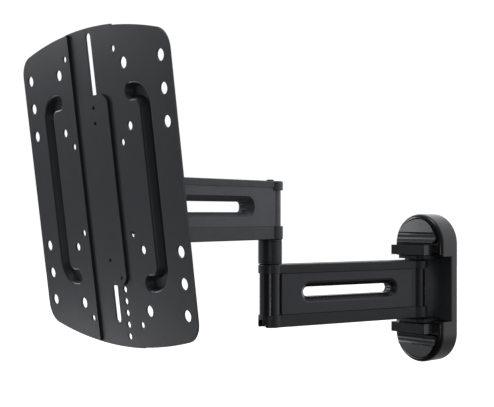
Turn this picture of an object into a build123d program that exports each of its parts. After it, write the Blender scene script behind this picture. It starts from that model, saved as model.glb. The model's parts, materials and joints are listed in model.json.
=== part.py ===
from build123d import *
from math import asin, cos, radians, sin, sqrt
import os

# Full motion wall mount for a television, in millimetres.
# The origin is the middle of the back face of the wall base, on the wall.
# X runs to the right for someone facing the wall, the room lies towards -Y, Z is up.

# Wall base: a stadium-shaped cover, shallow in the middle and deep at both ends
BASE_WIDTH = 66
BASE_HEIGHT = 164
BASE_DEPTH = 27.5
MIDDLE_DEPTH = 8.6
MIDDLE_HALF = 35.7
COVER_WALL = 2.5
COVER_FILLET = 5
CAP_CORNER = 4
PANEL_THICKNESS = 1.5
PANEL_CLEARANCE = 0.3
EAR_HALF_WIDTH = 23
EAR_FRONT = 45.7
EAR_BOTTOM = 37.4
EAR_TOP = 48.1
EAR_ROOT = 8
EAR_WALL = 2
EAR_CORNER = 1.2
EAR_ROOM_CORNER = 2
EAR_ROOM_BACK = 21
CAP_RADIUS = 27.6
CAP_GAP = 1.0
CAP_BOTTOM = 50.6
CAP_BACK = 25.2
# Side profile of a cap from its straight edge outwards: depth, height above that edge
CAP_PROFILE = ((35.7, -1), (31, 3), (29.9, 6), (30.2, 9), (31.5, 11.6), (26.6, 27.6))
WALL_PLATE_THICKNESS = 4
WALL_PLATE_INSET = 3
WALL_SCREW_HOLE = 8.5
WALL_SCREW_Z = 62
BRACKET_THICKNESS = 3.5
BRACKET_HALF_WIDTH = 20
BRACKET_SCREW_RADIUS = 3
BRACKET_SCREW_ACROSS = 24
BRACKET_SCREW_APART = 44
BRACKET_SCREW_RECESS = 0.5
BRACKET_SCREW_TAPER = 35
LUG_HALF_WIDTH = 18
LUG_INNER = 33.2
LUG_FRONT = 43
LUG_CORNER = 8

# Swivel pivots, all on vertical axes
WALL_PIVOT_Y = -31.7
LOWER_LENGTH = 190
UPPER_LENGTH = 180
LOWER_SWING = 9.8
BOLT_RADIUS = 5
BOLT_CLEARANCE = 0.4
BOLT_HEAD_RADIUS = 8
BOLT_HEAD_HEIGHT = 5.5
BOLT_TIP = 1
NUT_ACROSS_FLATS = 16
NUT_HEIGHT = 7
WASHER_RADIUS = 9.5
WASHER_THICKNESS = 1.2
RUNNING_GAP = 0.06
BUSH_RADIUS = 6.5
BUSH_LENGTH = 12
FLANGE_RADIUS = 8.4
FLANGE_THICKNESS = 0.9
BOSS_RADIUS = 8.6
FIT_GAP = 0.1

# Arms: a core with a panel on each side, a cover on top and a cable tray below
ARM_HALF = 10.75
CORE_HALF = 8.5
PANEL_OUTER = 10.1
END_RADIUS = 10.8
TRAY_WALL = 2.0
END_CHAMFER = 0.8
COVER_SOLID_END = 15
PANEL_CORNER = 2
CABLE_ENTRY_LENGTH = 14
CABLE_ENTRY_WIDTH = 12
CABLE_ENTRY_STATION = 24

LOWER_BOTTOM = -31.6
LOWER_TRAY_TOP = -19.4
LOWER_COVER_BOTTOM = 22.5
LOWER_TOP = 31.5
LOWER_WALL_COLLAR = 13.7
LOWER_ELBOW_COLLAR = 12.05
LOWER_WINDOW_Z = 2.6
LOWER_WINDOW_START = 39
LOWER_WINDOW_END = 153
LOWER_PANEL_START = 13
LOWER_PANEL_END = 182.5
LOWER_TRAY_START = 16
LOWER_ENTRY_STATION = 28
LOWER_BOSS_SINK = 0.4
NOTCH_RADIUS = 8
NOTCH_WIDTH = 14
NOTCH_REACH = 12

UPPER_BOTTOM = 56.7
UPPER_TRAY_TOP = 69.9
UPPER_COVER_BOTTOM = 108.5
UPPER_TOP = 115.1
UPPER_COLLAR = 13
UPPER_SPOTFACE = 106
UPPER_WINDOW_Z = 89
UPPER_WINDOW_START = 43
UPPER_WINDOW_END = 148
UPPER_PANEL_START = 0
UPPER_PANEL_END = 167
UPPER_TRAY_START = 16
UPPER_TRAY_END = 163
UPPER_ENTRY_STATION = 148
ELBOW_HEAD_ROOM = 0.3
ELBOW_HEAD_GAP = 0.9
CAP_PLUG_RADIUS = 3
CAP_PLUG_HEAD_RADIUS = 4
CAP_PLUG_HEAD_HEIGHT = 1.8
CAP_PLUG_FILLET = 1.5

WINDOW_HEIGHT = 10
WINDOW_RIM_HEIGHT = 21
WINDOW_RIM_DEPTH = 5.2
WINDOW_RIM_TAPER = 45

# Head: a yoke on the swivel bolt, and a bracket that tilts on it
HEAD_REACH = 22.5
TILT_HEIGHT = 85.9
TILT = 7.4
YOKE_THICKNESS = 3
YOKE_HALF_WIDTH = 21.5
YOKE_TAB_RADIUS = 14
YOKE_SHOULDER = 16
YOKE_WEB_FROM_PIVOT = 13.5
YOKE_EAR_RADIUS = 8.4
TILT_BOLT_RADIUS = 3
TILT_BOLT_HEAD_RADIUS = 5.5
TILT_BOLT_HEAD_HEIGHT = 4
TILT_BOLT_FILLET = 1.5
TILT_NUT_ACROSS_FLATS = 10
TILT_NUT_HEIGHT = 5
TILT_WASHER = 1
TILT_SPACER_RADIUS = 7.5
TILT_WASHER_RADIUS = 6.5
TILT_BRACKET_SHOULDER = 22
TILT_BRACKET_INSET = 2
TILT_BRACKET_CORNER = 4
PLATE_FROM_TILT_AXIS = 16.47
PLATE_ABOVE_TILT_AXIS = 19.18

# Television plate: a centre plate that slides on the tilt bracket, and two wings
SHEET = 1.8
PLATE_HALF_WIDTH = 112
PLATE_HALF_HEIGHT = 133
PLATE_ARC_RADIUS = 415
PLATE_CORNER = 18
CHANNEL_HALF_WIDTH = 29.8
CENTRE_HALF_WIDTH = 35
CENTRE_OVERHANG = 1
CENTRE_SLOTS = ((1.1, 130), (-114, -6.1))
CENTRE_NOTCH_RADIUS = 6
SLOT_WIDTH = 7.8
INDEX_PITCH = 10
INDEX_U = 14.5
INDEX_V = -74.5
INDEX_HOLE_RADIUS = 3.0
HEIGHT_TRAVEL = 50
BEAD_U = 74
BEAD_END_U = 56
BEAD_V = 77
BEAD_WIDTH = 13
BEAD_CORNER = 14
BEAD_DEPTH = 6
BEAD_TAPER = 24
STRIP_HALF_WIDTH = 21.3
STRIP_TOP = 78.4
STRIP_BOTTOM = -81.3
STRIP_THICKNESS = 1.7
STRIP_CHAMFER = 6
STRIP_CORNER = 4
STRIP_SCREW_V = (68, 55, -60)
STRIP_SCREW_RADIUS = 2.5
STRIP_SCREW_HOLE = 2.6
STRIP_SCREW_LENGTH = 11.2
STRIP_HEAD_RADIUS = 4.6
STRIP_HEAD_DEPTH = 1.5
STRIP_HEAD_TAPER = 54
STRIP_SOCKET_RADIUS = 1.6
STRIP_SOCKET_DEPTH = 1.4
STRIP_NUT_ACROSS_FLATS = 8
STRIP_NUT_HEIGHT = 4
INDEX_SOCKET_RADIUS = 1.4
INDEX_SOCKET_DEPTH = 1.2
BRACKET_SHEET = 2.5
SLIDE_GAP = 0.1
RIVET_U = 32.3
RIVET_V = (-90, -20, 20, 90)
RIVET_RADIUS = 1.5
RIVET_GRIP = 1.1
RIVET_HEAD_RADIUS = 2.2
RIVET_HEAD_TAPER = 30

# Holes for the television's screws, as distances from the middle of the plate
OUTER_HOLE_U = 100
OUTER_HOLE_V = (-100, -75, -50, 50, 75, 100)
INNER_HOLE_U = 50
INNER_LARGE_V = (-100, 100)
INNER_MIDDLE_V = (-50, 50)
SMALL_HOLE_U = 37.5
SMALL_HOLE_V = (-112.5, -37.5, 37.5, 112.5)
LARGE_HOLE_RADIUS = 4.8
MIDDLE_HOLE_RADIUS = 3.7
SMALL_HOLE_RADIUS = 2.9

WALL_FACE = Plane.XZ

lower_swing = radians(LOWER_SWING)
elbow_x = -LOWER_LENGTH * sin(lower_swing)
elbow_y = WALL_PIVOT_Y - LOWER_LENGTH * cos(lower_swing)
upper_swing = asin(-elbow_x / UPPER_LENGTH)
head_y = elbow_y - UPPER_LENGTH * cos(upper_swing)
tilt_y = head_y - HEAD_REACH

# Plan planes at each pivot: x along the arm, z up
lower_plan = Plane(origin=(0, WALL_PIVOT_Y, 0), x_dir=(-sin(lower_swing), -cos(lower_swing), 0))
upper_plan = Plane(origin=(elbow_x, elbow_y, 0), x_dir=(sin(upper_swing), -cos(upper_swing), 0))
head_plan = Plane(origin=(0, head_y, 0))

# Side planes through the middle of each arm: x along the arm, y up
lower_side = Plane(origin=lower_plan.origin, x_dir=lower_plan.x_dir, z_dir=-lower_plan.y_dir)
upper_side = Plane(origin=upper_plan.origin, x_dir=upper_plan.x_dir, z_dir=-upper_plan.y_dir)

# The tilt axis runs along X; the plate plane has x to the right, y up the plate, z to the room
tilt = radians(TILT)
plate_up = Vector(0, -sin(tilt), cos(tilt))
plate_out = Vector(0, -cos(tilt), -sin(tilt))
tilt_axis = Vector(0, tilt_y, TILT_HEIGHT)
plate_centre = tilt_axis + plate_out * PLATE_FROM_TILT_AXIS + plate_up * PLATE_ABOVE_TILT_AXIS
plate_plane = Plane(origin=plate_centre, x_dir=(1, 0, 0), z_dir=plate_out)
bracket_side = Plane(origin=tilt_axis, x_dir=plate_out, z_dir=(-1, 0, 0))
yoke_side = Plane(origin=tilt_axis, x_dir=(0, -1, 0), z_dir=(-1, 0, 0))

os.makedirs("parts", exist_ok=True)


def disc(plane, height, radius, thickness, mode=Mode.ADD):
    """A round of the given thickness that starts at a height above a plan plane."""
    with BuildSketch(plane.offset(height)) as profile:
        Circle(radius)
    extrude(profile.sketch, amount=thickness, mode=mode)


def hexagon(plane, height, across_flats, thickness):
    """A hexagonal block on an axis."""
    with BuildSketch(plane.offset(height)) as profile:
        RegularPolygon(across_flats / 2, 6, major_radius=False)
    extrude(profile.sketch, amount=thickness)


def pivot_nut(plane, height):
    """A nut on a pivot bolt, standing on a height above a plan plane."""
    hexagon(plane, height, NUT_ACROSS_FLATS, NUT_HEIGHT)
    disc(plane, height, BOLT_RADIUS + FIT_GAP, NUT_HEIGHT, Mode.SUBTRACT)


def pivot_washer(plane, top):
    """A washer on a pivot bolt, hanging below a height."""
    disc(plane, top, WASHER_RADIUS, -WASHER_THICKNESS)
    disc(plane, top, BOLT_RADIUS + FIT_GAP, -WASHER_THICKNESS, Mode.SUBTRACT)


def cable_entry(plane, bottom, station):
    """A rounded opening through the floor of a cable tray."""
    with BuildSketch(plane.offset(bottom)) as entry:
        with Locations((station, 0)):
            RectangleRounded(CABLE_ENTRY_LENGTH, CABLE_ENTRY_WIDTH, PANEL_CORNER)
    extrude(entry.sketch, amount=TRAY_WALL, mode=Mode.SUBTRACT)


def arm_outline(length, half_width, near_radius, far_radius):
    """Plan of an arm: a straight bar with a round at each pivot."""
    with Locations((length / 2, 0)):
        Rectangle(length, 2 * half_width)
    Circle(near_radius)
    with Locations((length, 0)):
        Circle(far_radius)


def cut_window(side, middle_z, start, end):
    """A slot right through an arm, opened out by a sloping rim on both sides."""
    centre = ((start + end) / 2, middle_z)
    rim = WINDOW_RIM_HEIGHT - WINDOW_HEIGHT
    with BuildSketch(side.offset(-ARM_HALF)) as slot:
        with Locations(centre):
            SlotOverall(end - start, WINDOW_HEIGHT)
    extrude(slot.sketch, amount=2 * ARM_HALF, mode=Mode.SUBTRACT)
    for face in (-1, 1):
        with BuildSketch(side.offset(face * PANEL_OUTER)) as mouth:
            with Locations(centre):
                SlotOverall(end - start + rim, WINDOW_RIM_HEIGHT)
        depth = -face * WINDOW_RIM_DEPTH
        extrude(mouth.sketch, amount=depth, taper=WINDOW_RIM_TAPER, mode=Mode.SUBTRACT)


def flanged_bush(plane, face_height, direction):
    """A plastic bush whose flange stands on a boss face and whose sleeve goes into it."""
    disc(plane, face_height, FLANGE_RADIUS, direction * FLANGE_THICKNESS)
    disc(plane, face_height, BUSH_RADIUS, -direction * BUSH_LENGTH)


def half_moon(radius, bottom):
    """Outline of an end cap: a round on the stadium's end centre, cut straight below."""
    with Locations((0, BASE_HEIGHT / 2 - BASE_WIDTH / 2)):
        Circle(radius)
    with Locations((0, bottom + BASE_WIDTH / 2)):
        Rectangle(2 * BASE_WIDTH, BASE_WIDTH, mode=Mode.INTERSECT)
    corners = [v for v in vertices() if abs(v.Y - bottom) < FIT_GAP]
    fillet(corners, CAP_CORNER)


def plate_outline(extra=0):
    """Outline of the whole television plate, with arched top and bottom edges."""
    top = PLATE_HALF_HEIGHT + extra
    radius = PLATE_ARC_RADIUS + extra
    side = top - radius + sqrt(radius**2 - PLATE_HALF_WIDTH**2)
    with BuildLine() as outline:
        ThreePointArc((-PLATE_HALF_WIDTH, side), (0, top), (PLATE_HALF_WIDTH, side))
        Line((PLATE_HALF_WIDTH, side), (PLATE_HALF_WIDTH, -side))
        ThreePointArc((PLATE_HALF_WIDTH, -side), (0, -top), (-PLATE_HALF_WIDTH, -side))
        Line((-PLATE_HALF_WIDTH, -side), (-PLATE_HALF_WIDTH, side))
    make_face(outline.edges())
    fillet(vertices(), PLATE_CORNER)


def bead_outline(side, width):
    """Outline of a wing's pressed bead: upright, with both ends turned to the middle."""
    with BuildLine() as path:
        FilletPolyline(
            (side * BEAD_END_U, BEAD_V),
            (side * BEAD_U, BEAD_V),
            (side * BEAD_U, -BEAD_V),
            (side * BEAD_END_U, -BEAD_V),
            radius=BEAD_CORNER,
        )
    trace(path.edges(), width)
    with Locations((side * BEAD_END_U, BEAD_V), (side * BEAD_END_U, -BEAD_V)):
        Circle(width / 2)


# ---------------------------------------------------------------- wall base

with BuildPart() as wall_plate:
    with BuildSketch(WALL_FACE):
        plate_height = BASE_HEIGHT - 2 * WALL_PLATE_INSET
        SlotOverall(plate_height, BASE_WIDTH - 2 * WALL_PLATE_INSET, rotation=90)
        with Locations((0, WALL_SCREW_Z), (0, -WALL_SCREW_Z)):
            Circle(WALL_SCREW_HOLE / 2, mode=Mode.SUBTRACT)
        with GridLocations(BRACKET_SCREW_ACROSS, BRACKET_SCREW_APART, 2, 2):
            Circle(BRACKET_SCREW_RADIUS, mode=Mode.SUBTRACT)
    extrude(amount=WALL_PLATE_THICKNESS)
wall_plate.part.label = "wall_plate"
export_step(wall_plate.part, "parts/wall_plate.step")

with BuildPart() as pivot_bracket:
    with BuildSketch(WALL_FACE.offset(WALL_PLATE_THICKNESS)):
        Rectangle(2 * BRACKET_HALF_WIDTH, 2 * (LUG_INNER + BRACKET_THICKNESS))
    extrude(amount=BRACKET_THICKNESS)
    lug_length = LUG_FRONT - WALL_PLATE_THICKNESS
    for height in (LUG_INNER, -LUG_INNER - BRACKET_THICKNESS):
        with BuildSketch(Plane.XY.offset(height)):
            with Locations((0, -WALL_PLATE_THICKNESS - lug_length / 2)):
                Rectangle(2 * LUG_HALF_WIDTH, lug_length)
            fillet(vertices().group_by(Axis.Y)[0], LUG_CORNER)
        extrude(amount=BRACKET_THICKNESS)
    with BuildSketch(lower_plan.offset(-EAR_TOP)):
        Circle(BOLT_RADIUS + FIT_GAP)
    extrude(amount=2 * EAR_TOP, mode=Mode.SUBTRACT)
    with BuildSketch(WALL_FACE.offset(WALL_PLATE_THICKNESS)):
        with GridLocations(BRACKET_SCREW_ACROSS, BRACKET_SCREW_APART, 2, 2):
            Circle(BRACKET_SCREW_RADIUS)
    extrude(amount=BRACKET_THICKNESS, taper=-BRACKET_SCREW_TAPER, mode=Mode.SUBTRACT)
pivot_bracket.part.label = "pivot_bracket"
export_step(pivot_bracket.part, "parts/pivot_bracket.step")

with BuildPart() as bracket_screws:
    with BuildSketch(WALL_FACE.offset(BRACKET_SCREW_RECESS)):
        with GridLocations(BRACKET_SCREW_ACROSS, BRACKET_SCREW_APART, 2, 2):
            Circle(BRACKET_SCREW_RADIUS - FIT_GAP)
    extrude(amount=WALL_PLATE_THICKNESS - BRACKET_SCREW_RECESS)
    with BuildSketch(WALL_FACE.offset(WALL_PLATE_THICKNESS)):
        with GridLocations(BRACKET_SCREW_ACROSS, BRACKET_SCREW_APART, 2, 2):
            Circle(BRACKET_SCREW_RADIUS - FIT_GAP)
    extrude(amount=BRACKET_THICKNESS, taper=-BRACKET_SCREW_TAPER)
bracket_screws.part.label = "bracket_screws"
export_step(bracket_screws.part, "parts/bracket_screws.step")

with BuildPart() as base_cover:
    with BuildSketch(WALL_FACE):
        SlotOverall(BASE_HEIGHT, BASE_WIDTH, rotation=90)
    extrude(amount=MIDDLE_DEPTH)
    with BuildSketch(WALL_FACE):
        SlotOverall(BASE_HEIGHT, BASE_WIDTH, rotation=90)
        Rectangle(2 * BASE_WIDTH, 2 * MIDDLE_HALF, mode=Mode.SUBTRACT)
    extrude(amount=BASE_DEPTH)
    fillet(base_cover.faces().group_by(Axis.Y)[0].edges(), COVER_FILLET)
    for height in (EAR_BOTTOM, -EAR_TOP):
        with BuildSketch(Plane.XY.offset(height)):
            with Locations((0, -(EAR_FRONT + BASE_DEPTH - EAR_ROOT) / 2)):
                Rectangle(2 * EAR_HALF_WIDTH, EAR_FRONT - BASE_DEPTH + EAR_ROOT)
            fillet(vertices().group_by(Axis.Y)[0], EAR_CORNER)
        extrude(amount=EAR_TOP - EAR_BOTTOM)
    with BuildSketch(WALL_FACE):
        SlotOverall(BASE_HEIGHT - 2 * COVER_WALL, BASE_WIDTH - 2 * COVER_WALL, rotation=90)
    extrude(amount=MIDDLE_DEPTH - COVER_WALL, mode=Mode.SUBTRACT)
    with BuildSketch(WALL_FACE):
        SlotOverall(BASE_HEIGHT - 2 * COVER_WALL, BASE_WIDTH - 2 * COVER_WALL, rotation=90)
        Rectangle(BASE_WIDTH, 2 * (MIDDLE_HALF + COVER_WALL), mode=Mode.SUBTRACT)
    extrude(amount=BASE_DEPTH - COVER_WALL, mode=Mode.SUBTRACT)
    bracket_room = 2 * (LUG_INNER + BRACKET_THICKNESS + PANEL_CLEARANCE)
    with BuildSketch(WALL_FACE):
        Rectangle(2 * (BRACKET_HALF_WIDTH + PANEL_CLEARANCE), bracket_room)
    extrude(amount=MIDDLE_DEPTH, mode=Mode.SUBTRACT)
    with BuildSketch(WALL_FACE):
        Rectangle(2 * (LUG_HALF_WIDTH + PANEL_CLEARANCE), bracket_room)
    extrude(amount=BASE_DEPTH, mode=Mode.SUBTRACT)
    for plane in (WALL_FACE, Plane(origin=(0, 0, 0), x_dir=(-1, 0, 0), z_dir=(0, -1, 0))):
        with BuildSketch(plane):
            half_moon(CAP_RADIUS + CAP_GAP, CAP_BOTTOM - CAP_GAP)
        extrude(amount=EAR_FRONT, mode=Mode.SUBTRACT)
    ear_room = EAR_FRONT - COVER_WALL - EAR_ROOM_BACK
    for height in (LUG_INNER, EAR_WALL - EAR_TOP):
        with BuildSketch(Plane.XY.offset(height)):
            with Locations((0, -EAR_ROOM_BACK - ear_room / 2)):
                Rectangle(2 * (EAR_HALF_WIDTH - COVER_WALL), ear_room)
            fillet(vertices().group_by(Axis.Y)[0], EAR_ROOM_CORNER)
        extrude(amount=EAR_TOP - EAR_WALL - LUG_INNER, mode=Mode.SUBTRACT)
base_cover.part.label = "base_cover"
export_step(base_cover.part, "parts/base_cover.step")

with BuildPart() as centre_panel:
    with BuildSketch(WALL_FACE.offset(MIDDLE_DEPTH + FIT_GAP)):
        panel_half = MIDDLE_HALF - PANEL_CLEARANCE
        Rectangle(BASE_WIDTH - PANEL_CLEARANCE, 2 * panel_half)
        with Locations((0, panel_half), (0, -panel_half)):
            notch_height = 2 * (panel_half - LUG_INNER + PANEL_CLEARANCE)
            notch_width = 2 * (LUG_HALF_WIDTH + PANEL_CLEARANCE)
            Rectangle(notch_width, notch_height, mode=Mode.SUBTRACT)
    extrude(amount=PANEL_THICKNESS)
centre_panel.part.label = "centre_panel"
export_step(centre_panel.part, "parts/centre_panel.step")

for cap_name, cap_up in (("upper_cap", 1), ("lower_cap", -1)):
    with BuildPart() as cap:
        front = [(-depth, cap_up * (CAP_BOTTOM + rise)) for depth, rise in CAP_PROFILE]
        back = [(-CAP_BACK, front[-1][1]), (-CAP_BACK, front[0][1])]
        with BuildSketch(Plane.YZ.offset(-BASE_WIDTH / 2)):
            with BuildLine():
                Spline(*front[:-1])
                Polyline(front[-2], front[-1], *back, front[0])
            make_face()
        extrude(amount=BASE_WIDTH)
        with BuildSketch(Plane(origin=(0, 0, 0), x_dir=(cap_up, 0, 0), z_dir=(0, -1, 0))):
            half_moon(CAP_RADIUS, CAP_BOTTOM)
        extrude(amount=EAR_FRONT, mode=Mode.INTERSECT)
    cap.part.label = cap_name
    export_step(cap.part, f"parts/{cap_name}.step")

wall_head_z = LUG_INNER + BRACKET_THICKNESS
wall_bolt_end = -wall_head_z - NUT_HEIGHT - BOLT_TIP
with BuildPart() as wall_pivot_bolt:
    disc(lower_plan, wall_head_z, BOLT_HEAD_RADIUS, BOLT_HEAD_HEIGHT)
    disc(lower_plan, wall_bolt_end, BOLT_RADIUS, wall_head_z - wall_bolt_end)
wall_pivot_bolt.part.label = "wall_pivot_bolt"
export_step(wall_pivot_bolt.part, "parts/wall_pivot_bolt.step")

with BuildPart() as wall_pivot_nut:
    pivot_nut(lower_plan, -wall_head_z - NUT_HEIGHT)
wall_pivot_nut.part.label = "wall_pivot_nut"
export_step(wall_pivot_nut.part, "parts/wall_pivot_nut.step")

# ---------------------------------------------------------------- lower arm

wall_boss_top = LUG_INNER - FIT_GAP - FLANGE_THICKNESS
elbow_boss_top = LOWER_TOP - LOWER_BOSS_SINK
lower_elbow_plan = Plane(origin=(elbow_x, elbow_y, 0), x_dir=lower_plan.x_dir)

with BuildPart() as lower_arm_core:
    with BuildSketch(lower_plan.offset(LOWER_TRAY_TOP)):
        arm_outline(LOWER_LENGTH, CORE_HALF, END_RADIUS, END_RADIUS)
    extrude(amount=LOWER_COVER_BOTTOM - LOWER_TRAY_TOP)
    disc(lower_plan, -wall_boss_top, BOSS_RADIUS, 2 * wall_boss_top)
    disc(lower_elbow_plan, LOWER_COVER_BOTTOM, BOSS_RADIUS, elbow_boss_top - LOWER_COVER_BOTTOM)
    for plane, bottom, top in (
        (lower_plan, -wall_boss_top, wall_boss_top),
        (lower_elbow_plan, LOWER_TRAY_TOP, elbow_boss_top),
    ):
        disc(plane, bottom, BOLT_RADIUS + BOLT_CLEARANCE, top - bottom, Mode.SUBTRACT)
        disc(plane, bottom, BUSH_RADIUS + FIT_GAP, BUSH_LENGTH + FIT_GAP, Mode.SUBTRACT)
        disc(plane, top, BUSH_RADIUS + FIT_GAP, -BUSH_LENGTH - FIT_GAP, Mode.SUBTRACT)
    cut_window(lower_side, LOWER_WINDOW_Z, LOWER_WINDOW_START, LOWER_WINDOW_END)
lower_arm_core.part.label = "lower_arm_core"
export_step(lower_arm_core.part, "parts/lower_arm_core.step")

for panel_name, face in (("lower_arm_panel_right", -1), ("lower_arm_panel_left", 1)):
    with BuildPart() as panel:
        with BuildSketch(lower_side.offset(face * CORE_HALF)):
            middle_z = (LOWER_COVER_BOTTOM + LOWER_TRAY_TOP) / 2
            with Locations(((LOWER_PANEL_START + LOWER_PANEL_END) / 2, middle_z)):
                RectangleRounded(
                    LOWER_PANEL_END - LOWER_PANEL_START,
                    LOWER_COVER_BOTTOM - LOWER_TRAY_TOP,
                    PANEL_CORNER,
                )
        extrude(amount=face * (PANEL_OUTER - CORE_HALF))
        cut_window(lower_side, LOWER_WINDOW_Z, LOWER_WINDOW_START, LOWER_WINDOW_END)
    panel.part.label = panel_name
    export_step(panel.part, f"parts/{panel_name}.step")

with BuildPart() as lower_arm_top_cover:
    with BuildSketch(lower_plan.offset(LOWER_COVER_BOTTOM)):
        arm_outline(LOWER_LENGTH, ARM_HALF, LOWER_WALL_COLLAR, LOWER_ELBOW_COLLAR)
    extrude(amount=LOWER_TOP - LOWER_COVER_BOTTOM)
    chamfer(lower_arm_top_cover.faces().sort_by(Axis.Z)[-1].edges(), END_CHAMFER)
    with BuildSketch(lower_plan.offset(LOWER_COVER_BOTTOM)):
        with Locations((LOWER_LENGTH / 2, 0)):
            SlotOverall(LOWER_LENGTH - 2 * COVER_SOLID_END, 2 * (ARM_HALF - TRAY_WALL))
    extrude(amount=LOWER_TOP - LOWER_COVER_BOTTOM - TRAY_WALL, mode=Mode.SUBTRACT)
    for plane in (lower_plan, lower_elbow_plan):
        disc(plane, LOWER_COVER_BOTTOM, BOSS_RADIUS + FIT_GAP, LOWER_TOP, Mode.SUBTRACT)
lower_arm_top_cover.part.label = "lower_arm_top_cover"
export_step(lower_arm_top_cover.part, "parts/lower_arm_top_cover.step")

with BuildPart() as lower_arm_cable_tray:
    tray_height = LOWER_TRAY_TOP - LOWER_BOTTOM
    with BuildSketch(lower_plan.offset(LOWER_BOTTOM)):
        arm_outline(LOWER_LENGTH, ARM_HALF, LOWER_WALL_COLLAR, LOWER_ELBOW_COLLAR)
    extrude(amount=tray_height)
    chamfer(lower_arm_cable_tray.faces().sort_by(Axis.Z)[0].edges(), END_CHAMFER)
    with BuildSketch(lower_plan.offset(LOWER_BOTTOM + TRAY_WALL)):
        with Locations(((LOWER_LENGTH + LOWER_TRAY_START) / 2, 0)):
            Rectangle(LOWER_LENGTH - LOWER_TRAY_START, 2 * (ARM_HALF - TRAY_WALL))
        with Locations((LOWER_LENGTH, 0)):
            Circle(LOWER_ELBOW_COLLAR - TRAY_WALL)
    extrude(amount=tray_height, mode=Mode.SUBTRACT)
    disc(lower_plan, LOWER_BOTTOM, BOSS_RADIUS + FIT_GAP, tray_height, Mode.SUBTRACT)
    with BuildSketch(lower_side.offset(-NOTCH_WIDTH / 2)):
        with Locations((LOWER_LENGTH + NOTCH_REACH, LOWER_BOTTOM)):
            Circle(NOTCH_RADIUS)
    extrude(amount=NOTCH_WIDTH, mode=Mode.SUBTRACT)
    cable_entry(lower_plan, LOWER_BOTTOM, LOWER_ENTRY_STATION)
    cable_entry(lower_plan, LOWER_BOTTOM, LOWER_LENGTH - CABLE_ENTRY_STATION)
lower_arm_cable_tray.part.label = "lower_arm_cable_tray"
export_step(lower_arm_cable_tray.part, "parts/lower_arm_cable_tray.step")

with BuildPart() as wall_pivot_bushes:
    flanged_bush(lower_plan, wall_boss_top, 1)
    flanged_bush(lower_plan, -wall_boss_top, -1)
    disc(lower_plan, -EAR_TOP, BOLT_RADIUS + RUNNING_GAP, 2 * EAR_TOP, Mode.SUBTRACT)
wall_pivot_bushes.part.label = "wall_pivot_bushes"
export_step(wall_pivot_bushes.part, "parts/wall_pivot_bushes.step")

with BuildPart() as elbow_bushes:
    flanged_bush(lower_elbow_plan, elbow_boss_top, 1)
    flanged_bush(lower_elbow_plan, LOWER_TRAY_TOP, -1)
    disc(lower_elbow_plan, -EAR_TOP, BOLT_RADIUS + RUNNING_GAP, 2 * EAR_TOP, Mode.SUBTRACT)
elbow_bushes.part.label = "elbow_bushes"
export_step(elbow_bushes.part, "parts/elbow_bushes.step")

# ---------------------------------------------------------------- elbow and upper arm

elbow_washer_top = LOWER_TRAY_TOP - FLANGE_THICKNESS - FIT_GAP
elbow_nut_bottom = elbow_washer_top - WASHER_THICKNESS - NUT_HEIGHT
post_bottom = elbow_boss_top + FLANGE_THICKNESS + FIT_GAP

with BuildPart() as elbow_post:
    disc(upper_plan, post_bottom, LOWER_ELBOW_COLLAR, UPPER_BOTTOM - post_bottom)
    disc(upper_plan, post_bottom, BOLT_RADIUS + FIT_GAP, UPPER_BOTTOM, Mode.SUBTRACT)
elbow_post.part.label = "elbow_post"
export_step(elbow_post.part, "parts/elbow_post.step")

with BuildPart() as elbow_bolt:
    disc(upper_plan, UPPER_SPOTFACE, BOLT_HEAD_RADIUS, BOLT_HEAD_HEIGHT)
    disc(upper_plan, elbow_nut_bottom, BOLT_RADIUS, UPPER_SPOTFACE - elbow_nut_bottom)
elbow_bolt.part.label = "elbow_bolt"
export_step(elbow_bolt.part, "parts/elbow_bolt.step")

with BuildPart() as elbow_washer:
    pivot_washer(upper_plan, elbow_washer_top)
elbow_washer.part.label = "elbow_washer"
export_step(elbow_washer.part, "parts/elbow_washer.step")

with BuildPart() as elbow_nut:
    pivot_nut(upper_plan, elbow_nut_bottom)
elbow_nut.part.label = "elbow_nut"
export_step(elbow_nut.part, "parts/elbow_nut.step")

upper_head_plan = Plane(origin=(0, head_y, 0), x_dir=upper_plan.x_dir)

with BuildPart() as upper_arm_core:
    with BuildSketch(upper_plan.offset(UPPER_TRAY_TOP)):
        arm_outline(UPPER_LENGTH, CORE_HALF, END_RADIUS, END_RADIUS)
    extrude(amount=UPPER_COVER_BOTTOM - UPPER_TRAY_TOP)
    disc(upper_plan, UPPER_SPOTFACE, UPPER_COLLAR, UPPER_TOP, Mode.SUBTRACT)
    disc(upper_plan, UPPER_BOTTOM, BOSS_RADIUS, UPPER_TRAY_TOP - UPPER_BOTTOM)
    disc(upper_head_plan, UPPER_TRAY_TOP, BOSS_RADIUS, UPPER_TOP - UPPER_TRAY_TOP)
    disc(upper_plan, UPPER_BOTTOM, BOLT_RADIUS + FIT_GAP, UPPER_TOP, Mode.SUBTRACT)
    disc(upper_head_plan, UPPER_BOTTOM, BOLT_RADIUS + BOLT_CLEARANCE, UPPER_TOP, Mode.SUBTRACT)
    for face_z, direction in ((UPPER_TRAY_TOP, 1), (UPPER_TOP, -1)):
        depth = direction * (BUSH_LENGTH + FIT_GAP)
        disc(upper_head_plan, face_z, BUSH_RADIUS + FIT_GAP, depth, Mode.SUBTRACT)
    cut_window(upper_side, UPPER_WINDOW_Z, UPPER_WINDOW_START, UPPER_WINDOW_END)
upper_arm_core.part.label = "upper_arm_core"
export_step(upper_arm_core.part, "parts/upper_arm_core.step")

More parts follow.
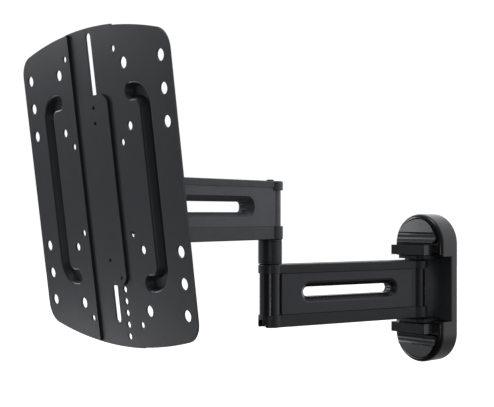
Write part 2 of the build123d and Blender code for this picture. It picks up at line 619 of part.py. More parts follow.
for panel_name, face in (("upper_arm_panel_right", -1), ("upper_arm_panel_left", 1)):
    with BuildPart() as panel:
        with BuildSketch(upper_side.offset(face * CORE_HALF)):
            middle_z = (UPPER_COVER_BOTTOM + UPPER_TRAY_TOP) / 2
            with Locations(((UPPER_PANEL_START + UPPER_PANEL_END) / 2, middle_z)):
                RectangleRounded(
                    UPPER_PANEL_END - UPPER_PANEL_START,
                    UPPER_COVER_BOTTOM - UPPER_TRAY_TOP,
                    PANEL_CORNER,
                )
        extrude(amount=face * (PANEL_OUTER - CORE_HALF))
        disc(upper_plan, UPPER_BOTTOM, END_RADIUS + FIT_GAP, UPPER_TOP, Mode.SUBTRACT)
        disc(upper_plan, UPPER_SPOTFACE, UPPER_COLLAR + FIT_GAP, UPPER_TOP, Mode.SUBTRACT)
        cut_window(upper_side, UPPER_WINDOW_Z, UPPER_WINDOW_START, UPPER_WINDOW_END)
    panel.part.label = panel_name
    export_step(panel.part, f"parts/{panel_name}.step")

with BuildPart() as upper_arm_top_cover:
    with BuildSketch(upper_plan.offset(UPPER_COVER_BOTTOM)):
        arm_outline(UPPER_LENGTH, ARM_HALF, UPPER_COLLAR, UPPER_COLLAR)
    extrude(amount=UPPER_TOP - UPPER_COVER_BOTTOM)
    disc(upper_plan, UPPER_SPOTFACE, UPPER_COLLAR, UPPER_COVER_BOTTOM - UPPER_SPOTFACE)
    chamfer(upper_arm_top_cover.faces().sort_by(Axis.Z)[-1].edges(), END_CHAMFER)
    with BuildSketch(upper_plan.offset(UPPER_COVER_BOTTOM)):
        with Locations((UPPER_LENGTH / 2, 0)):
            SlotOverall(UPPER_LENGTH - 2 * COVER_SOLID_END, 2 * (ARM_HALF - TRAY_WALL))
    extrude(amount=UPPER_TOP - UPPER_COVER_BOTTOM - TRAY_WALL, mode=Mode.SUBTRACT)
    head_room = BOLT_HEAD_HEIGHT + ELBOW_HEAD_GAP
    disc(upper_plan, UPPER_SPOTFACE, BOLT_HEAD_RADIUS + ELBOW_HEAD_ROOM, head_room, Mode.SUBTRACT)
    disc(upper_plan, UPPER_SPOTFACE, CAP_PLUG_RADIUS + FIT_GAP, UPPER_TOP, Mode.SUBTRACT)
    disc(upper_head_plan, UPPER_SPOTFACE, BOSS_RADIUS + FIT_GAP, UPPER_TOP, Mode.SUBTRACT)
upper_arm_top_cover.part.label = "upper_arm_top_cover"
export_step(upper_arm_top_cover.part, "parts/upper_arm_top_cover.step")

with BuildPart() as upper_arm_cable_tray:
    tray_height = UPPER_TRAY_TOP - UPPER_BOTTOM
    with BuildSketch(upper_plan.offset(UPPER_BOTTOM)):
        Circle(UPPER_COLLAR)
        with Locations((UPPER_TRAY_END / 2, 0)):
            Rectangle(UPPER_TRAY_END, 2 * ARM_HALF)
    extrude(amount=tray_height)
    chamfer(upper_arm_cable_tray.faces().sort_by(Axis.Z)[0].edges(), END_CHAMFER)
    hollow_end = UPPER_TRAY_END - TRAY_WALL
    with BuildSketch(upper_plan.offset(UPPER_BOTTOM + TRAY_WALL)):
        with Locations(((UPPER_TRAY_START + hollow_end) / 2, 0)):
            Rectangle(hollow_end - UPPER_TRAY_START, 2 * (ARM_HALF - TRAY_WALL))
    extrude(amount=tray_height, mode=Mode.SUBTRACT)
    disc(upper_plan, UPPER_BOTTOM, BOSS_RADIUS + FIT_GAP, tray_height, Mode.SUBTRACT)
    cable_entry(upper_plan, UPPER_BOTTOM, CABLE_ENTRY_STATION)
    cable_entry(upper_plan, UPPER_BOTTOM, UPPER_ENTRY_STATION)
upper_arm_cable_tray.part.label = "upper_arm_cable_tray"
export_step(upper_arm_cable_tray.part, "parts/upper_arm_cable_tray.step")

with BuildPart() as elbow_cap:
    plug_bottom = UPPER_SPOTFACE + head_room
    disc(upper_plan, plug_bottom, CAP_PLUG_RADIUS, UPPER_TOP - plug_bottom)
    disc(upper_plan, UPPER_TOP, CAP_PLUG_HEAD_RADIUS, CAP_PLUG_HEAD_HEIGHT)
    fillet(elbow_cap.faces().sort_by(Axis.Z)[-1].edges(), CAP_PLUG_FILLET)
elbow_cap.part.label = "elbow_cap"
export_step(elbow_cap.part, "parts/elbow_cap.step")

with BuildPart() as head_bushes:
    flanged_bush(upper_head_plan, UPPER_TOP, 1)
    flanged_bush(upper_head_plan, UPPER_TRAY_TOP, -1)
    disc(upper_head_plan, UPPER_BOTTOM, BOLT_RADIUS + RUNNING_GAP, UPPER_TOP, Mode.SUBTRACT)
head_bushes.part.label = "head_bushes"
export_step(head_bushes.part, "parts/head_bushes.step")

# ---------------------------------------------------------------- swivel head

tab_gap = FLANGE_THICKNESS + FIT_GAP
tab_low = UPPER_TRAY_TOP - tab_gap - YOKE_THICKNESS
tab_high = UPPER_TOP + tab_gap
yoke_height = tab_high + YOKE_THICKNESS - tab_low
web_back = YOKE_WEB_FROM_PIVOT
ear_reach = HEAD_REACH - web_back - YOKE_THICKNESS

with BuildPart() as swivel_yoke:
    with BuildSketch(Plane.XY.offset(tab_low)):
        with Locations((0, head_y - web_back - YOKE_THICKNESS / 2)):
            Rectangle(2 * YOKE_HALF_WIDTH, YOKE_THICKNESS)
    extrude(amount=yoke_height)
    for height in (tab_low, tab_high):
        with BuildSketch(Plane.XY.offset(height)):
            with Locations((0, head_y - (web_back + YOKE_THICKNESS) / 2)):
                Rectangle(2 * YOKE_TAB_RADIUS, web_back + YOKE_THICKNESS)
            with Locations((0, head_y)):
                Circle(YOKE_TAB_RADIUS)
        extrude(amount=YOKE_THICKNESS)
    for ear_x in (YOKE_HALF_WIDTH - YOKE_THICKNESS, -YOKE_HALF_WIDTH):
        with BuildSketch(yoke_side.offset(-ear_x)):
            Circle(YOKE_EAR_RADIUS)
            with BuildLine():
                Polyline(
                    (0, YOKE_EAR_RADIUS),
                    (-ear_reach, YOKE_SHOULDER),
                    (-ear_reach, -YOKE_SHOULDER),
                    (0, -YOKE_EAR_RADIUS),
                    close=True,
                )
            make_face()
            Circle(TILT_BOLT_RADIUS + FIT_GAP, mode=Mode.SUBTRACT)
        extrude(amount=-YOKE_THICKNESS)
    disc(head_plan, tab_low, BOLT_RADIUS + FIT_GAP, yoke_height, Mode.SUBTRACT)
swivel_yoke.part.label = "swivel_yoke"
export_step(swivel_yoke.part, "parts/swivel_yoke.step")

head_nut_bottom = tab_low - WASHER_THICKNESS - NUT_HEIGHT
head_bolt_end = head_nut_bottom - BOLT_TIP
with BuildPart() as head_bolt:
    head_seat = tab_high + YOKE_THICKNESS
    disc(head_plan, head_seat, BOLT_HEAD_RADIUS, BOLT_HEAD_HEIGHT)
    disc(head_plan, head_bolt_end, BOLT_RADIUS, head_seat - head_bolt_end)
head_bolt.part.label = "head_bolt"
export_step(head_bolt.part, "parts/head_bolt.step")

with BuildPart() as head_washer:
    pivot_washer(head_plan, tab_low)
head_washer.part.label = "head_washer"
export_step(head_washer.part, "parts/head_washer.step")

with BuildPart() as head_nut:
    pivot_nut(head_plan, head_nut_bottom)
head_nut.part.label = "head_nut"
export_step(head_nut.part, "parts/head_nut.step")

# ---------------------------------------------------------------- tilt bracket and strip

bracket_front = SHEET + SHEET + SLIDE_GAP
bracket_back = bracket_front + BRACKET_SHEET
flange_inner = YOKE_HALF_WIDTH + TILT_WASHER
flange_outer = flange_inner + BRACKET_SHEET
strip_screw_points = [(0, v) for v in STRIP_SCREW_V]
strip_middle = (STRIP_TOP + STRIP_BOTTOM) / 2
strip_height = STRIP_TOP - STRIP_BOTTOM
index_point = (INDEX_U, INDEX_V)

with BuildPart() as tilt_bracket:
    with BuildSketch(plate_plane.offset(-bracket_front)):
        with Locations((0, strip_middle)):
            bracket_height = strip_height - 2 * TILT_BRACKET_INSET
            RectangleRounded(2 * flange_outer, bracket_height, TILT_BRACKET_CORNER)
        with Locations(*strip_screw_points, index_point):
            Circle(STRIP_SCREW_HOLE, mode=Mode.SUBTRACT)
    extrude(amount=-BRACKET_SHEET)
    reach = PLATE_FROM_TILT_AXIS - bracket_front
    for ear_x in (flange_inner, -flange_outer):
        with BuildSketch(bracket_side.offset(-ear_x)):
            Circle(YOKE_EAR_RADIUS)
            with BuildLine():
                Polyline(
                    (0, YOKE_EAR_RADIUS),
                    (reach, TILT_BRACKET_SHOULDER),
                    (reach, -TILT_BRACKET_SHOULDER),
                    (0, -YOKE_EAR_RADIUS),
                    close=True,
                )
            make_face()
            Circle(TILT_BOLT_RADIUS + RUNNING_GAP, mode=Mode.SUBTRACT)
        extrude(amount=-BRACKET_SHEET)
tilt_bracket.part.label = "tilt_bracket"
export_step(tilt_bracket.part, "parts/tilt_bracket.step")

tilt_right = Plane(origin=tilt_axis, x_dir=(0, 0, 1), z_dir=(1, 0, 0))
tilt_left = Plane(origin=tilt_axis, x_dir=(0, 0, 1), z_dir=(-1, 0, 0))
bolt_seat = flange_outer + FIT_GAP + TILT_WASHER
yoke_inner = YOKE_HALF_WIDTH - YOKE_THICKNESS
tilt_bolt_end = yoke_inner - TILT_NUT_HEIGHT - BOLT_TIP

with BuildPart() as tilt_bolts:
    for plane in (tilt_right, tilt_left):
        disc(plane, tilt_bolt_end, TILT_BOLT_RADIUS, bolt_seat - tilt_bolt_end)
        disc(plane, bolt_seat, TILT_BOLT_HEAD_RADIUS, TILT_BOLT_HEAD_HEIGHT)
    for rim in (0, -1):
        rims = tilt_bolts.edges().filter_by(GeomType.CIRCLE).group_by(Axis.X)
        fillet(rims[rim], TILT_BOLT_FILLET)
tilt_bolts.part.label = "tilt_bolts"
export_step(tilt_bolts.part, "parts/tilt_bolts.step")

with BuildPart() as tilt_washers:
    for plane in (tilt_right, tilt_left):
        disc(plane, YOKE_HALF_WIDTH + FIT_GAP / 2, TILT_SPACER_RADIUS, TILT_WASHER - FIT_GAP)
        disc(plane, flange_outer + FIT_GAP, TILT_WASHER_RADIUS, TILT_WASHER)
        disc(plane, YOKE_HALF_WIDTH, TILT_BOLT_RADIUS + RUNNING_GAP, bolt_seat, Mode.SUBTRACT)
tilt_washers.part.label = "tilt_washers"
export_step(tilt_washers.part, "parts/tilt_washers.step")

with BuildPart() as tilt_nuts:
    for plane in (tilt_right, tilt_left):
        hexagon(plane, yoke_inner - TILT_NUT_HEIGHT, TILT_NUT_ACROSS_FLATS, TILT_NUT_HEIGHT)
        disc(plane, yoke_inner, TILT_BOLT_RADIUS + FIT_GAP, -TILT_NUT_HEIGHT, Mode.SUBTRACT)
tilt_nuts.part.label = "tilt_nuts"
export_step(tilt_nuts.part, "parts/tilt_nuts.step")

with BuildPart() as retaining_strip:
    with BuildSketch(plate_plane):
        with Locations((0, strip_middle)):
            Rectangle(2 * STRIP_HALF_WIDTH, strip_height)
        chamfer(vertices(), STRIP_CHAMFER)
        fillet(vertices(), STRIP_CORNER)
        with Locations(*strip_screw_points, index_point):
            Circle(STRIP_SCREW_HOLE, mode=Mode.SUBTRACT)
    extrude(amount=-STRIP_THICKNESS)
    with BuildSketch(plate_plane):
        with Locations(*strip_screw_points):
            Circle(STRIP_HEAD_RADIUS + FIT_GAP)
    extrude(amount=-STRIP_HEAD_DEPTH, taper=STRIP_HEAD_TAPER, mode=Mode.SUBTRACT)
retaining_strip.part.label = "retaining_strip"
export_step(retaining_strip.part, "parts/retaining_strip.step")

with BuildPart() as strip_screws:
    with BuildSketch(plate_plane):
        with Locations(*strip_screw_points):
            Circle(STRIP_SCREW_RADIUS)
    extrude(amount=-STRIP_SCREW_LENGTH)
    with BuildSketch(plate_plane):
        with Locations(*strip_screw_points):
            Circle(STRIP_HEAD_RADIUS)
    extrude(amount=-STRIP_HEAD_DEPTH, taper=STRIP_HEAD_TAPER)
    with BuildSketch(plate_plane):
        with Locations(*strip_screw_points):
            RegularPolygon(STRIP_SOCKET_RADIUS, 6)
    extrude(amount=-STRIP_SOCKET_DEPTH, mode=Mode.SUBTRACT)
strip_screws.part.label = "strip_screws"
export_step(strip_screws.part, "parts/strip_screws.step")

with BuildPart() as guide_sleeves:
    with BuildSketch(plate_plane.offset(-STRIP_THICKNESS)):
        with Locations(*strip_screw_points):
            Circle(SLOT_WIDTH / 2 - FIT_GAP)
            Circle(STRIP_SCREW_HOLE, mode=Mode.SUBTRACT)
    extrude(amount=STRIP_THICKNESS - bracket_front)
guide_sleeves.part.label = "guide_sleeves"
export_step(guide_sleeves.part, "parts/guide_sleeves.step")

with BuildPart() as strip_nuts:
    with BuildSketch(plate_plane.offset(-bracket_back)):
        with Locations(*strip_screw_points):
            RegularPolygon(STRIP_NUT_ACROSS_FLATS / 2, 6, major_radius=False)
            Circle(STRIP_SCREW_HOLE, mode=Mode.SUBTRACT)
    extrude(amount=-STRIP_NUT_HEIGHT)
strip_nuts.part.label = "strip_nuts"
export_step(strip_nuts.part, "parts/strip_nuts.step")

with BuildPart() as index_screw:
    with BuildSketch(plate_plane):
        with Locations(index_point):
            Circle(STRIP_SCREW_RADIUS)
    extrude(amount=-STRIP_THICKNESS)
    with BuildSketch(plate_plane):
        with Locations(index_point):
            RegularPolygon(INDEX_SOCKET_RADIUS, 6)
    extrude(amount=-INDEX_SOCKET_DEPTH, mode=Mode.SUBTRACT)
index_screw.part.label = "index_screw"
export_step(index_screw.part, "parts/index_screw.step")

# ---------------------------------------------------------------- television plate

index_count = 2 * HEIGHT_TRAVEL // INDEX_PITCH + 1
index_holes = [(INDEX_U, INDEX_V - HEIGHT_TRAVEL + step * INDEX_PITCH) for step in range(index_count)]
rivet_points = [(side * RIVET_U, v) for side in (-1, 1) for v in RIVET_V]
small_holes = [(side * SMALL_HOLE_U, v) for side in (-1, 1) for v in SMALL_HOLE_V]

with BuildPart() as centre_plate:
    with BuildSketch(plate_plane.offset(-SHEET)):
        plate_outline(CENTRE_OVERHANG)
        Rectangle(2 * CENTRE_HALF_WIDTH, 4 * PLATE_HALF_HEIGHT, mode=Mode.INTERSECT)
        for low, high in CENTRE_SLOTS:
            with Locations((0, (low + high) / 2)):
                SlotOverall(high - low, SLOT_WIDTH, rotation=90, mode=Mode.SUBTRACT)
        with Locations(*index_holes):
            Circle(INDEX_HOLE_RADIUS, mode=Mode.SUBTRACT)
        with Locations(*small_holes):
            Circle(CENTRE_NOTCH_RADIUS, mode=Mode.SUBTRACT)
        with Locations(*rivet_points):
            Circle(RIVET_RADIUS + FIT_GAP, mode=Mode.SUBTRACT)
    extrude(amount=-SHEET)
centre_plate.part.label = "centre_plate"
export_step(centre_plate.part, "parts/centre_plate.step")

for wing_name, side in (("left_wing", -1), ("right_wing", 1)):
    with BuildPart() as wing:
        wing_width = PLATE_HALF_WIDTH - CHANNEL_HALF_WIDTH
        with BuildSketch(plate_plane):
            plate_outline()
            with Locations((side * (CHANNEL_HALF_WIDTH + wing_width / 2), 0)):
                Rectangle(wing_width, 4 * PLATE_HALF_HEIGHT, mode=Mode.INTERSECT)
        extrude(amount=-SHEET)
        with BuildSketch(plate_plane):
            bead_outline(side, BEAD_WIDTH + 2 * SHEET)
        extrude(amount=-BEAD_DEPTH - SHEET, taper=BEAD_TAPER)
        with BuildSketch(plate_plane):
            bead_outline(side, BEAD_WIDTH)
        extrude(amount=-BEAD_DEPTH, taper=BEAD_TAPER, mode=Mode.SUBTRACT)
        large = [(side * OUTER_HOLE_U, v) for v in OUTER_HOLE_V]
        large += [(side * INNER_HOLE_U, v) for v in INNER_LARGE_V]
        with BuildSketch(plate_plane):
            with Locations(*large):
                Circle(LARGE_HOLE_RADIUS)
            with Locations(*[(side * INNER_HOLE_U, v) for v in INNER_MIDDLE_V]):
                Circle(MIDDLE_HOLE_RADIUS)
            with Locations(*[(side * SMALL_HOLE_U, v) for v in SMALL_HOLE_V]):
                Circle(SMALL_HOLE_RADIUS)
        extrude(amount=-SHEET, mode=Mode.SUBTRACT)
        with BuildSketch(plate_plane.offset(-SHEET)):
            with Locations(*[point for point in rivet_points if point[0] * side > 0]):
                Circle(RIVET_RADIUS + FIT_GAP)
        extrude(amount=RIVET_GRIP + FIT_GAP, mode=Mode.SUBTRACT)
    wing.part.label = wing_name
    export_step(wing.part, f"parts/{wing_name}.step")

with BuildPart() as wing_rivets:
    with BuildSketch(plate_plane.offset(RIVET_GRIP - SHEET)):
        with Locations(*rivet_points):
            Circle(RIVET_RADIUS)
    extrude(amount=-SHEET - RIVET_GRIP)
    with BuildSketch(plate_plane.offset(-2 * SHEET)):
        with Locations(*rivet_points):
            Circle(RIVET_HEAD_RADIUS)
    extrude(amount=-RIVET_GRIP, taper=RIVET_HEAD_TAPER)
wing_rivets.part.label = "wing_rivets"
export_step(wing_rivets.part, "parts/wing_rivets.step")
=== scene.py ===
"""Looks of a full motion wall mount for a television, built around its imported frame.

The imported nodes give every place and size. The pivot bolts, nuts and washers, the elbow's post
and cap, and the strip with its screws are modelled from primitives. Most other nodes are copied
with softened edges. The rest keep their shape and get a finish of their own.
All lengths are in metres, +Z is up, the wall is the plane y = 0 and the room lies towards -Y.
"""
import json
import logging
import math
from contextlib import contextmanager
from dataclasses import dataclass
from enum import Enum
from typing import Callable, ClassVar, Iterator

import bmesh
import bpy
from mathutils import Matrix, Vector


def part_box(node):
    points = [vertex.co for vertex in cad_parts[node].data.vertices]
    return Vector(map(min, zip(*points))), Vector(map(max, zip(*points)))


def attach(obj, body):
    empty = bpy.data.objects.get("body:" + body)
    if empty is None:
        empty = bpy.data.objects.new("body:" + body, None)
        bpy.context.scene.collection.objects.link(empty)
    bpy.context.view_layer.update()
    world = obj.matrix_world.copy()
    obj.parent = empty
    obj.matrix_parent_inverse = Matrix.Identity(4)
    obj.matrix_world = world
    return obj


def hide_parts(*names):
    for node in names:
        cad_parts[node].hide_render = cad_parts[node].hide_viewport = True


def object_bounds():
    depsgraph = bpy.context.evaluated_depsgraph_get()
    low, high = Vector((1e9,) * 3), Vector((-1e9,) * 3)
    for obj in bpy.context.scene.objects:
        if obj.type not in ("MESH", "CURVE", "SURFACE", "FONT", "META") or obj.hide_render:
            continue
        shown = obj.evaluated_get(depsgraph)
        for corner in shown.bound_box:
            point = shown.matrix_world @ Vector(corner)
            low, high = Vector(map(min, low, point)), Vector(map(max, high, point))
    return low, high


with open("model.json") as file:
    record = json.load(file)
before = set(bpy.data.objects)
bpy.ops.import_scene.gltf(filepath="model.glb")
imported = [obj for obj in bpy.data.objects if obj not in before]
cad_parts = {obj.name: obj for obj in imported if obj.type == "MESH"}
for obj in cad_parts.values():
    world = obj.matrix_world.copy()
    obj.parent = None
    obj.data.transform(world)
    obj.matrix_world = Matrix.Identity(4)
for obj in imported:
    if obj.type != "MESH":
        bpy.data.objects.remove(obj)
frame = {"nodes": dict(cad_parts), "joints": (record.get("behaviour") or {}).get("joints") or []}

CAD_LOW, CAD_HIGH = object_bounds()
MM = 0.001
LOG = logging.getLogger("wall_mount")

HEX_SIDES = 6
ROUND_SIDES = 64
ALONG_AXIS = 0.9
SMOOTH_ANGLE = math.radians(50)
MERGE_GAP = 0.002 * MM
FLAT_ANGLE = math.radians(0.5)
NORMAL_WEIGHT = 100

Test = Callable[[Vector, Vector], bool]
Act = Callable[[], object]


# ---------------------------------------------------------------- places


@dataclass(frozen=True)
class Place:
    """A local frame in which a piece is modelled before it is seated in the mount."""

    origin: Vector
    x: Vector
    y: Vector

    @property
    def z(self) -> Vector:
        """The third axis, square to the other two."""
        return self.x.cross(self.y)

    @property
    def matrix(self) -> Matrix:
        """The frame as a 4x4 matrix from local to mount coordinates."""
        turn = Matrix((self.x, self.y, self.z)).transposed().to_4x4()
        return Matrix.Translation(self.origin) @ turn

    def local(self, point: Vector) -> Vector:
        """A point of the mount, seen in this frame."""
        return self.matrix.inverted() @ point


def joint(name: str) -> dict:
    """The record's joint with a name."""
    return next(j for j in frame["joints"] if j["name"] == name)


def middle(node: str) -> Vector:
    """The centre of a node's box."""
    low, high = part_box(node)
    return (low + high) / 2


def span(node: str) -> Vector:
    """The size of a node's box along the mount's axes."""
    low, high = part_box(node)
    return high - low


UP = Vector((0.0, 0.0, 1.0))
RIGHT = Vector((1.0, 0.0, 0.0))

WALL_PIVOT = Vector(joint("wall_swivel")["pos_m"])
ELBOW_PIVOT = Vector(joint("elbow_swivel")["pos_m"])
HEAD_PIVOT = Vector(joint("head_swivel")["pos_m"])
PLATE_UP = Vector(joint("height_slide")["axis"]).normalized()
PLATE_OUT = RIGHT.cross(PLATE_UP)

WALL = Place(Vector((0.0, 0.0, 0.0)), RIGHT, UP)
SHEETS_BEHIND = 1.5


def along(start: Vector, end: Vector) -> Place:
    """An upright frame at one pivot whose x axis points level at the next one.

    Args:
        start: The pivot where the frame stands.
        end: The pivot that it faces.

    Returns:
        The frame: x along the arm, y up, z to the arm's left side.
    """
    level = Vector((end.x - start.x, end.y - start.y, 0.0)).normalized()
    return Place(Vector((start.x, start.y, 0.0)), level, UP)


# ---------------------------------------------------------------- finishes


class Surface(Enum):
    """How the fine relief of a finish is made."""

    POWDER = "orange peel of a baked powder coat"
    MOULDED = "fine spark-eroded grain of moulded plastic"
    SATIN = "faint lay of a satin paint"
    GLOSS = "slow waviness of a polished moulding"
    METAL = "fine turned and plated steel"


@dataclass(frozen=True)
class Finish:
    """One finish of the mount, from which a procedural material is made."""

    slot: str
    surface: Surface
    colour: tuple[float, float, float]
    tone: float
    roughness: float
    spread: float
    grain: float
    relief: float
    metallic: float = 0.0
    coat: float = 0.0
    specular: float = 0.5
    coat_roughness: ClassVar[float] = 0.2
    soft_detail: ClassVar[float] = 1.0
    speck_detail: ClassVar[float] = 2.0
    fine_detail: ClassVar[float] = 3.0
    finest_detail: ClassVar[float] = 4.0
    cloud_size: ClassVar[float] = 28 * MM
    speck_size: ClassVar[float] = 1.7
    speck_share: ClassVar[float] = 0.35
    dark_stop: ClassVar[float] = 0.4
    light_stop: ClassVar[float] = 0.95
    handled_size: ClassVar[float] = 11 * MM
    handled_range: ClassVar[tuple[float, float]] = (0.3, 0.7)
    relief_depth: ClassVar[float] = 0.25
    satin_stretch: ClassVar[tuple[float, float, float]] = (1.0, 1.0, 0.12)
    metal_stretch: ClassVar[tuple[float, float, float]] = (0.2, 0.2, 1.0)

    def shade(self, share: float) -> tuple[float, float, float, float]:
        """The colour made lighter or darker by a share."""
        return (*(min(1.0, c * (1.0 + share)) for c in self.colour), 1.0)

    def material(self) -> bpy.types.Material:
        """Builds the node material: mottled colour, uneven gloss and a fine relief.

        Returns:
            The material, which reads only Object coordinates.
        """
        made = bpy.data.materials.new(f"finish_{self.slot}")
        made.use_nodes = True
        tree = made.node_tree
        shader = tree.nodes["Principled BSDF"]
        shader.inputs["Metallic"].default_value = self.metallic
        shader.inputs["Coat Weight"].default_value = self.coat
        shader.inputs["Coat Roughness"].default_value = self.coat_roughness
        shader.inputs["Specular IOR Level"].default_value = self.specular
        place = tree.nodes.new("ShaderNodeTexCoord")
        self._colour(tree, place, shader)
        self._gloss(tree, place, shader)
        self._relief(tree, place, shader)
        return made

    def _noise(
        self, tree: bpy.types.NodeTree, place: bpy.types.Node, size: float, detail: float
    ) -> bpy.types.Node:
        """Adds a noise over Object coordinates.

        Args:
            tree: The material's nodes.
            place: The texture coordinates.
            size: The size of the noise's blobs.
            detail: How many finer layers it has.

        Returns:
            The noise node.
        """
        noise = tree.nodes.new("ShaderNodeTexNoise")
        noise.inputs["Scale"].default_value = 1.0 / size
        noise.inputs["Detail"].default_value = detail
        tree.links.new(place.outputs["Object"], noise.inputs["Vector"])
        return noise

    def _stretched(
        self,
        tree: bpy.types.NodeTree,
        place: bpy.types.Node,
        stretch: tuple[float, float, float],
        detail: float,
    ) -> bpy.types.Node:
        """Adds a noise of the grain's size that is drawn out along some axes.

        Args:
            tree: The material's nodes.
            place: The texture coordinates.
            stretch: The scale of the coordinates along each axis.
            detail: How many finer layers it has.

        Returns:
            The noise node.
        """
        lay = tree.nodes.new("ShaderNodeMapping")
        lay.inputs["Scale"].default_value = stretch
        tree.links.new(place.outputs["Object"], lay.inputs["Vector"])
        noise = self._noise(tree, place, self.grain, detail)
        tree.links.new(lay.outputs["Vector"], noise.inputs["Vector"])
        return noise

    def _colour(self, tree: bpy.types.NodeTree, place: bpy.types.Node, shader: bpy.types.Node) -> None:
        """Mottles the colour with broad clouds and with the grain itself.

        Args:
            tree: The material's nodes.
            place: The texture coordinates.
            shader: The surface that takes the colour.
        """
        clouds = self._noise(tree, place, self.cloud_size, self.fine_detail)
        specks = self._noise(tree, place, self.grain * self.speck_size, self.speck_detail)
        blend = tree.nodes.new("ShaderNodeMath")
        blend.operation = "MULTIPLY_ADD"
        blend.inputs[1].default_value = self.speck_share
        tree.links.new(specks.outputs["Fac"], blend.inputs[0])
        tree.links.new(clouds.outputs["Fac"], blend.inputs[2])
        ramp = tree.nodes.new("ShaderNodeValToRGB")
        dark, light = ramp.color_ramp.elements
        dark.position = self.dark_stop
        dark.color = self.shade(-self.tone)
        light.position = self.light_stop
        light.color = self.shade(self.tone)
        tree.links.new(blend.outputs["Value"], ramp.inputs["Fac"])
        tree.links.new(ramp.outputs["Color"], shader.inputs["Base Color"])

    def _gloss(self, tree: bpy.types.NodeTree, place: bpy.types.Node, shader: bpy.types.Node) -> None:
        """Spreads the roughness about its middle value.

        Args:
            tree: The material's nodes.
            place: The texture coordinates.
            shader: The surface that takes the roughness.
        """
        handled = self._noise(tree, place, self.handled_size, self.finest_detail)
        low, high = self.handled_range
        reach = tree.nodes.new("ShaderNodeMapRange")
        reach.inputs["From Min"].default_value = low
        reach.inputs["From Max"].default_value = high
        reach.inputs["To Min"].default_value = self.roughness - self.spread
        reach.inputs["To Max"].default_value = self.roughness + self.spread
        tree.links.new(handled.outputs["Fac"], reach.inputs["Value"])
        tree.links.new(reach.outputs["Result"], shader.inputs["Roughness"])

    def _relief(self, tree: bpy.types.NodeTree, place: bpy.types.Node, shader: bpy.types.Node) -> None:
        """Raises the fine relief that belongs to the kind of surface.

        Args:
            tree: The material's nodes.
            place: The texture coordinates.
            shader: The surface that takes the relief.
        """
        bump = tree.nodes.new("ShaderNodeBump")
        bump.inputs["Strength"].default_value = self.relief
        bump.inputs["Distance"].default_value = self.grain * self.relief_depth
        if self.surface is Surface.MOULDED:
            pits = tree.nodes.new("ShaderNodeTexVoronoi")
            pits.feature = "SMOOTH_F1"
            pits.inputs["Scale"].default_value = 1.0 / self.grain
            tree.links.new(place.outputs["Object"], pits.inputs["Vector"])
            height = pits.outputs["Distance"]
        elif self.surface is Surface.SATIN:
            height = self._stretched(tree, place, self.satin_stretch, self.fine_detail).outputs["Fac"]
        elif self.surface is Surface.METAL:
            height = self._stretched(tree, place, self.metal_stretch, self.finest_detail).outputs["Fac"]
        elif self.surface is Surface.GLOSS:
            height = self._noise(tree, place, self.grain, self.soft_detail).outputs["Fac"]
        else:
            height = self._noise(tree, place, self.grain, self.fine_detail).outputs["Fac"]
        tree.links.new(height, bump.inputs["Height"])
        tree.links.new(bump.outputs["Normal"], shader.inputs["Normal"])


FINISHES = (
    Finish("plate_steel", Surface.POWDER, (0.038, 0.041, 0.048), 0.10, 0.42, 0.04, 0.9 * MM, 0.22),
    Finish("bracket_steel", Surface.POWDER, (0.014, 0.015, 0.016), 0.10, 0.46, 0.05, 0.9 * MM, 0.25),
    Finish("arm_core_black", Surface.SATIN, (0.012, 0.012, 0.014), 0.08, 0.26, 0.03, 0.7 * MM, 0.04),
    Finish("arm_panel_grey", Surface.SATIN, (0.050, 0.050, 0.058), 0.07, 0.36, 0.04, 0.6 * MM, 0.12),
    Finish("arm_cover_plastic", Surface.MOULDED, (0.024, 0.025, 0.028), 0.08, 0.42, 0.05, 0.5 * MM, 0.25),
    Finish("base_gloss_plastic", Surface.GLOSS, (0.010, 0.010, 0.011), 0.06, 0.22, 0.03, 6.0 * MM, 0.05,
           coat=0.1),
    Finish("cap_gloss_plastic", Surface.GLOSS, (0.018, 0.018, 0.020), 0.06, 0.32, 0.03, 6.0 * MM, 0.03,
           coat=0.2),
    Finish("base_panel_matte", Surface.MOULDED, (0.055, 0.058, 0.066), 0.10, 0.60, 0.05, 0.6 * MM, 0.3,
           specular=0.3),
    Finish("black_screw_steel", Surface.METAL, (0.016, 0.016, 0.018), 0.10, 0.34, 0.05, 0.5 * MM, 0.15),
    Finish("zinc_steel", Surface.METAL, (0.56, 0.57, 0.58), 0.06, 0.28, 0.07, 0.4 * MM, 0.2, metallic=1.0),
    Finish("nylon", Surface.MOULDED, (0.016, 0.016, 0.017), 0.06, 0.45, 0.05, 0.5 * MM, 0.1),
)


class Palette:
    """Makes each finish's material once and dresses pieces with it."""

    def __init__(self) -> None:
        """Builds every material."""
        self.materials = {finish.slot: finish.material() for finish in FINISHES}

    def dress(self, piece: bpy.types.Object, slot: str) -> None:
        """Puts one finish on a whole piece."""
        piece.data.materials.clear()
        piece.data.materials.append(self.materials[slot])

    def dress_node(self, node: str) -> str:
        """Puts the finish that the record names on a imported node.

        Args:
            node: The node's name.

        Returns:
            The name of the record's material slot.
        """
        owner = frame["nodes"][node]
        slot = SLOTS[node]
        for index in range(len(owner.material_slots)):
            owner.material_slots[index].material = self.materials[slot]
        return slot


SLOTS = {name: owner.material_slots[0].material.name for name, owner in frame["nodes"].items()}


# ---------------------------------------------------------------- bench


def deselect() -> None:
    """Leaves nothing selected."""
    bpy.ops.object.select_all(action="DESELECT")


def take(piece: bpy.types.Object) -> None:
    """Makes one piece the only selected and the active one.

    Args:
        piece: The piece.
    """
    deselect()
    piece.select_set(True)
    bpy.context.view_layer.objects.active = piece


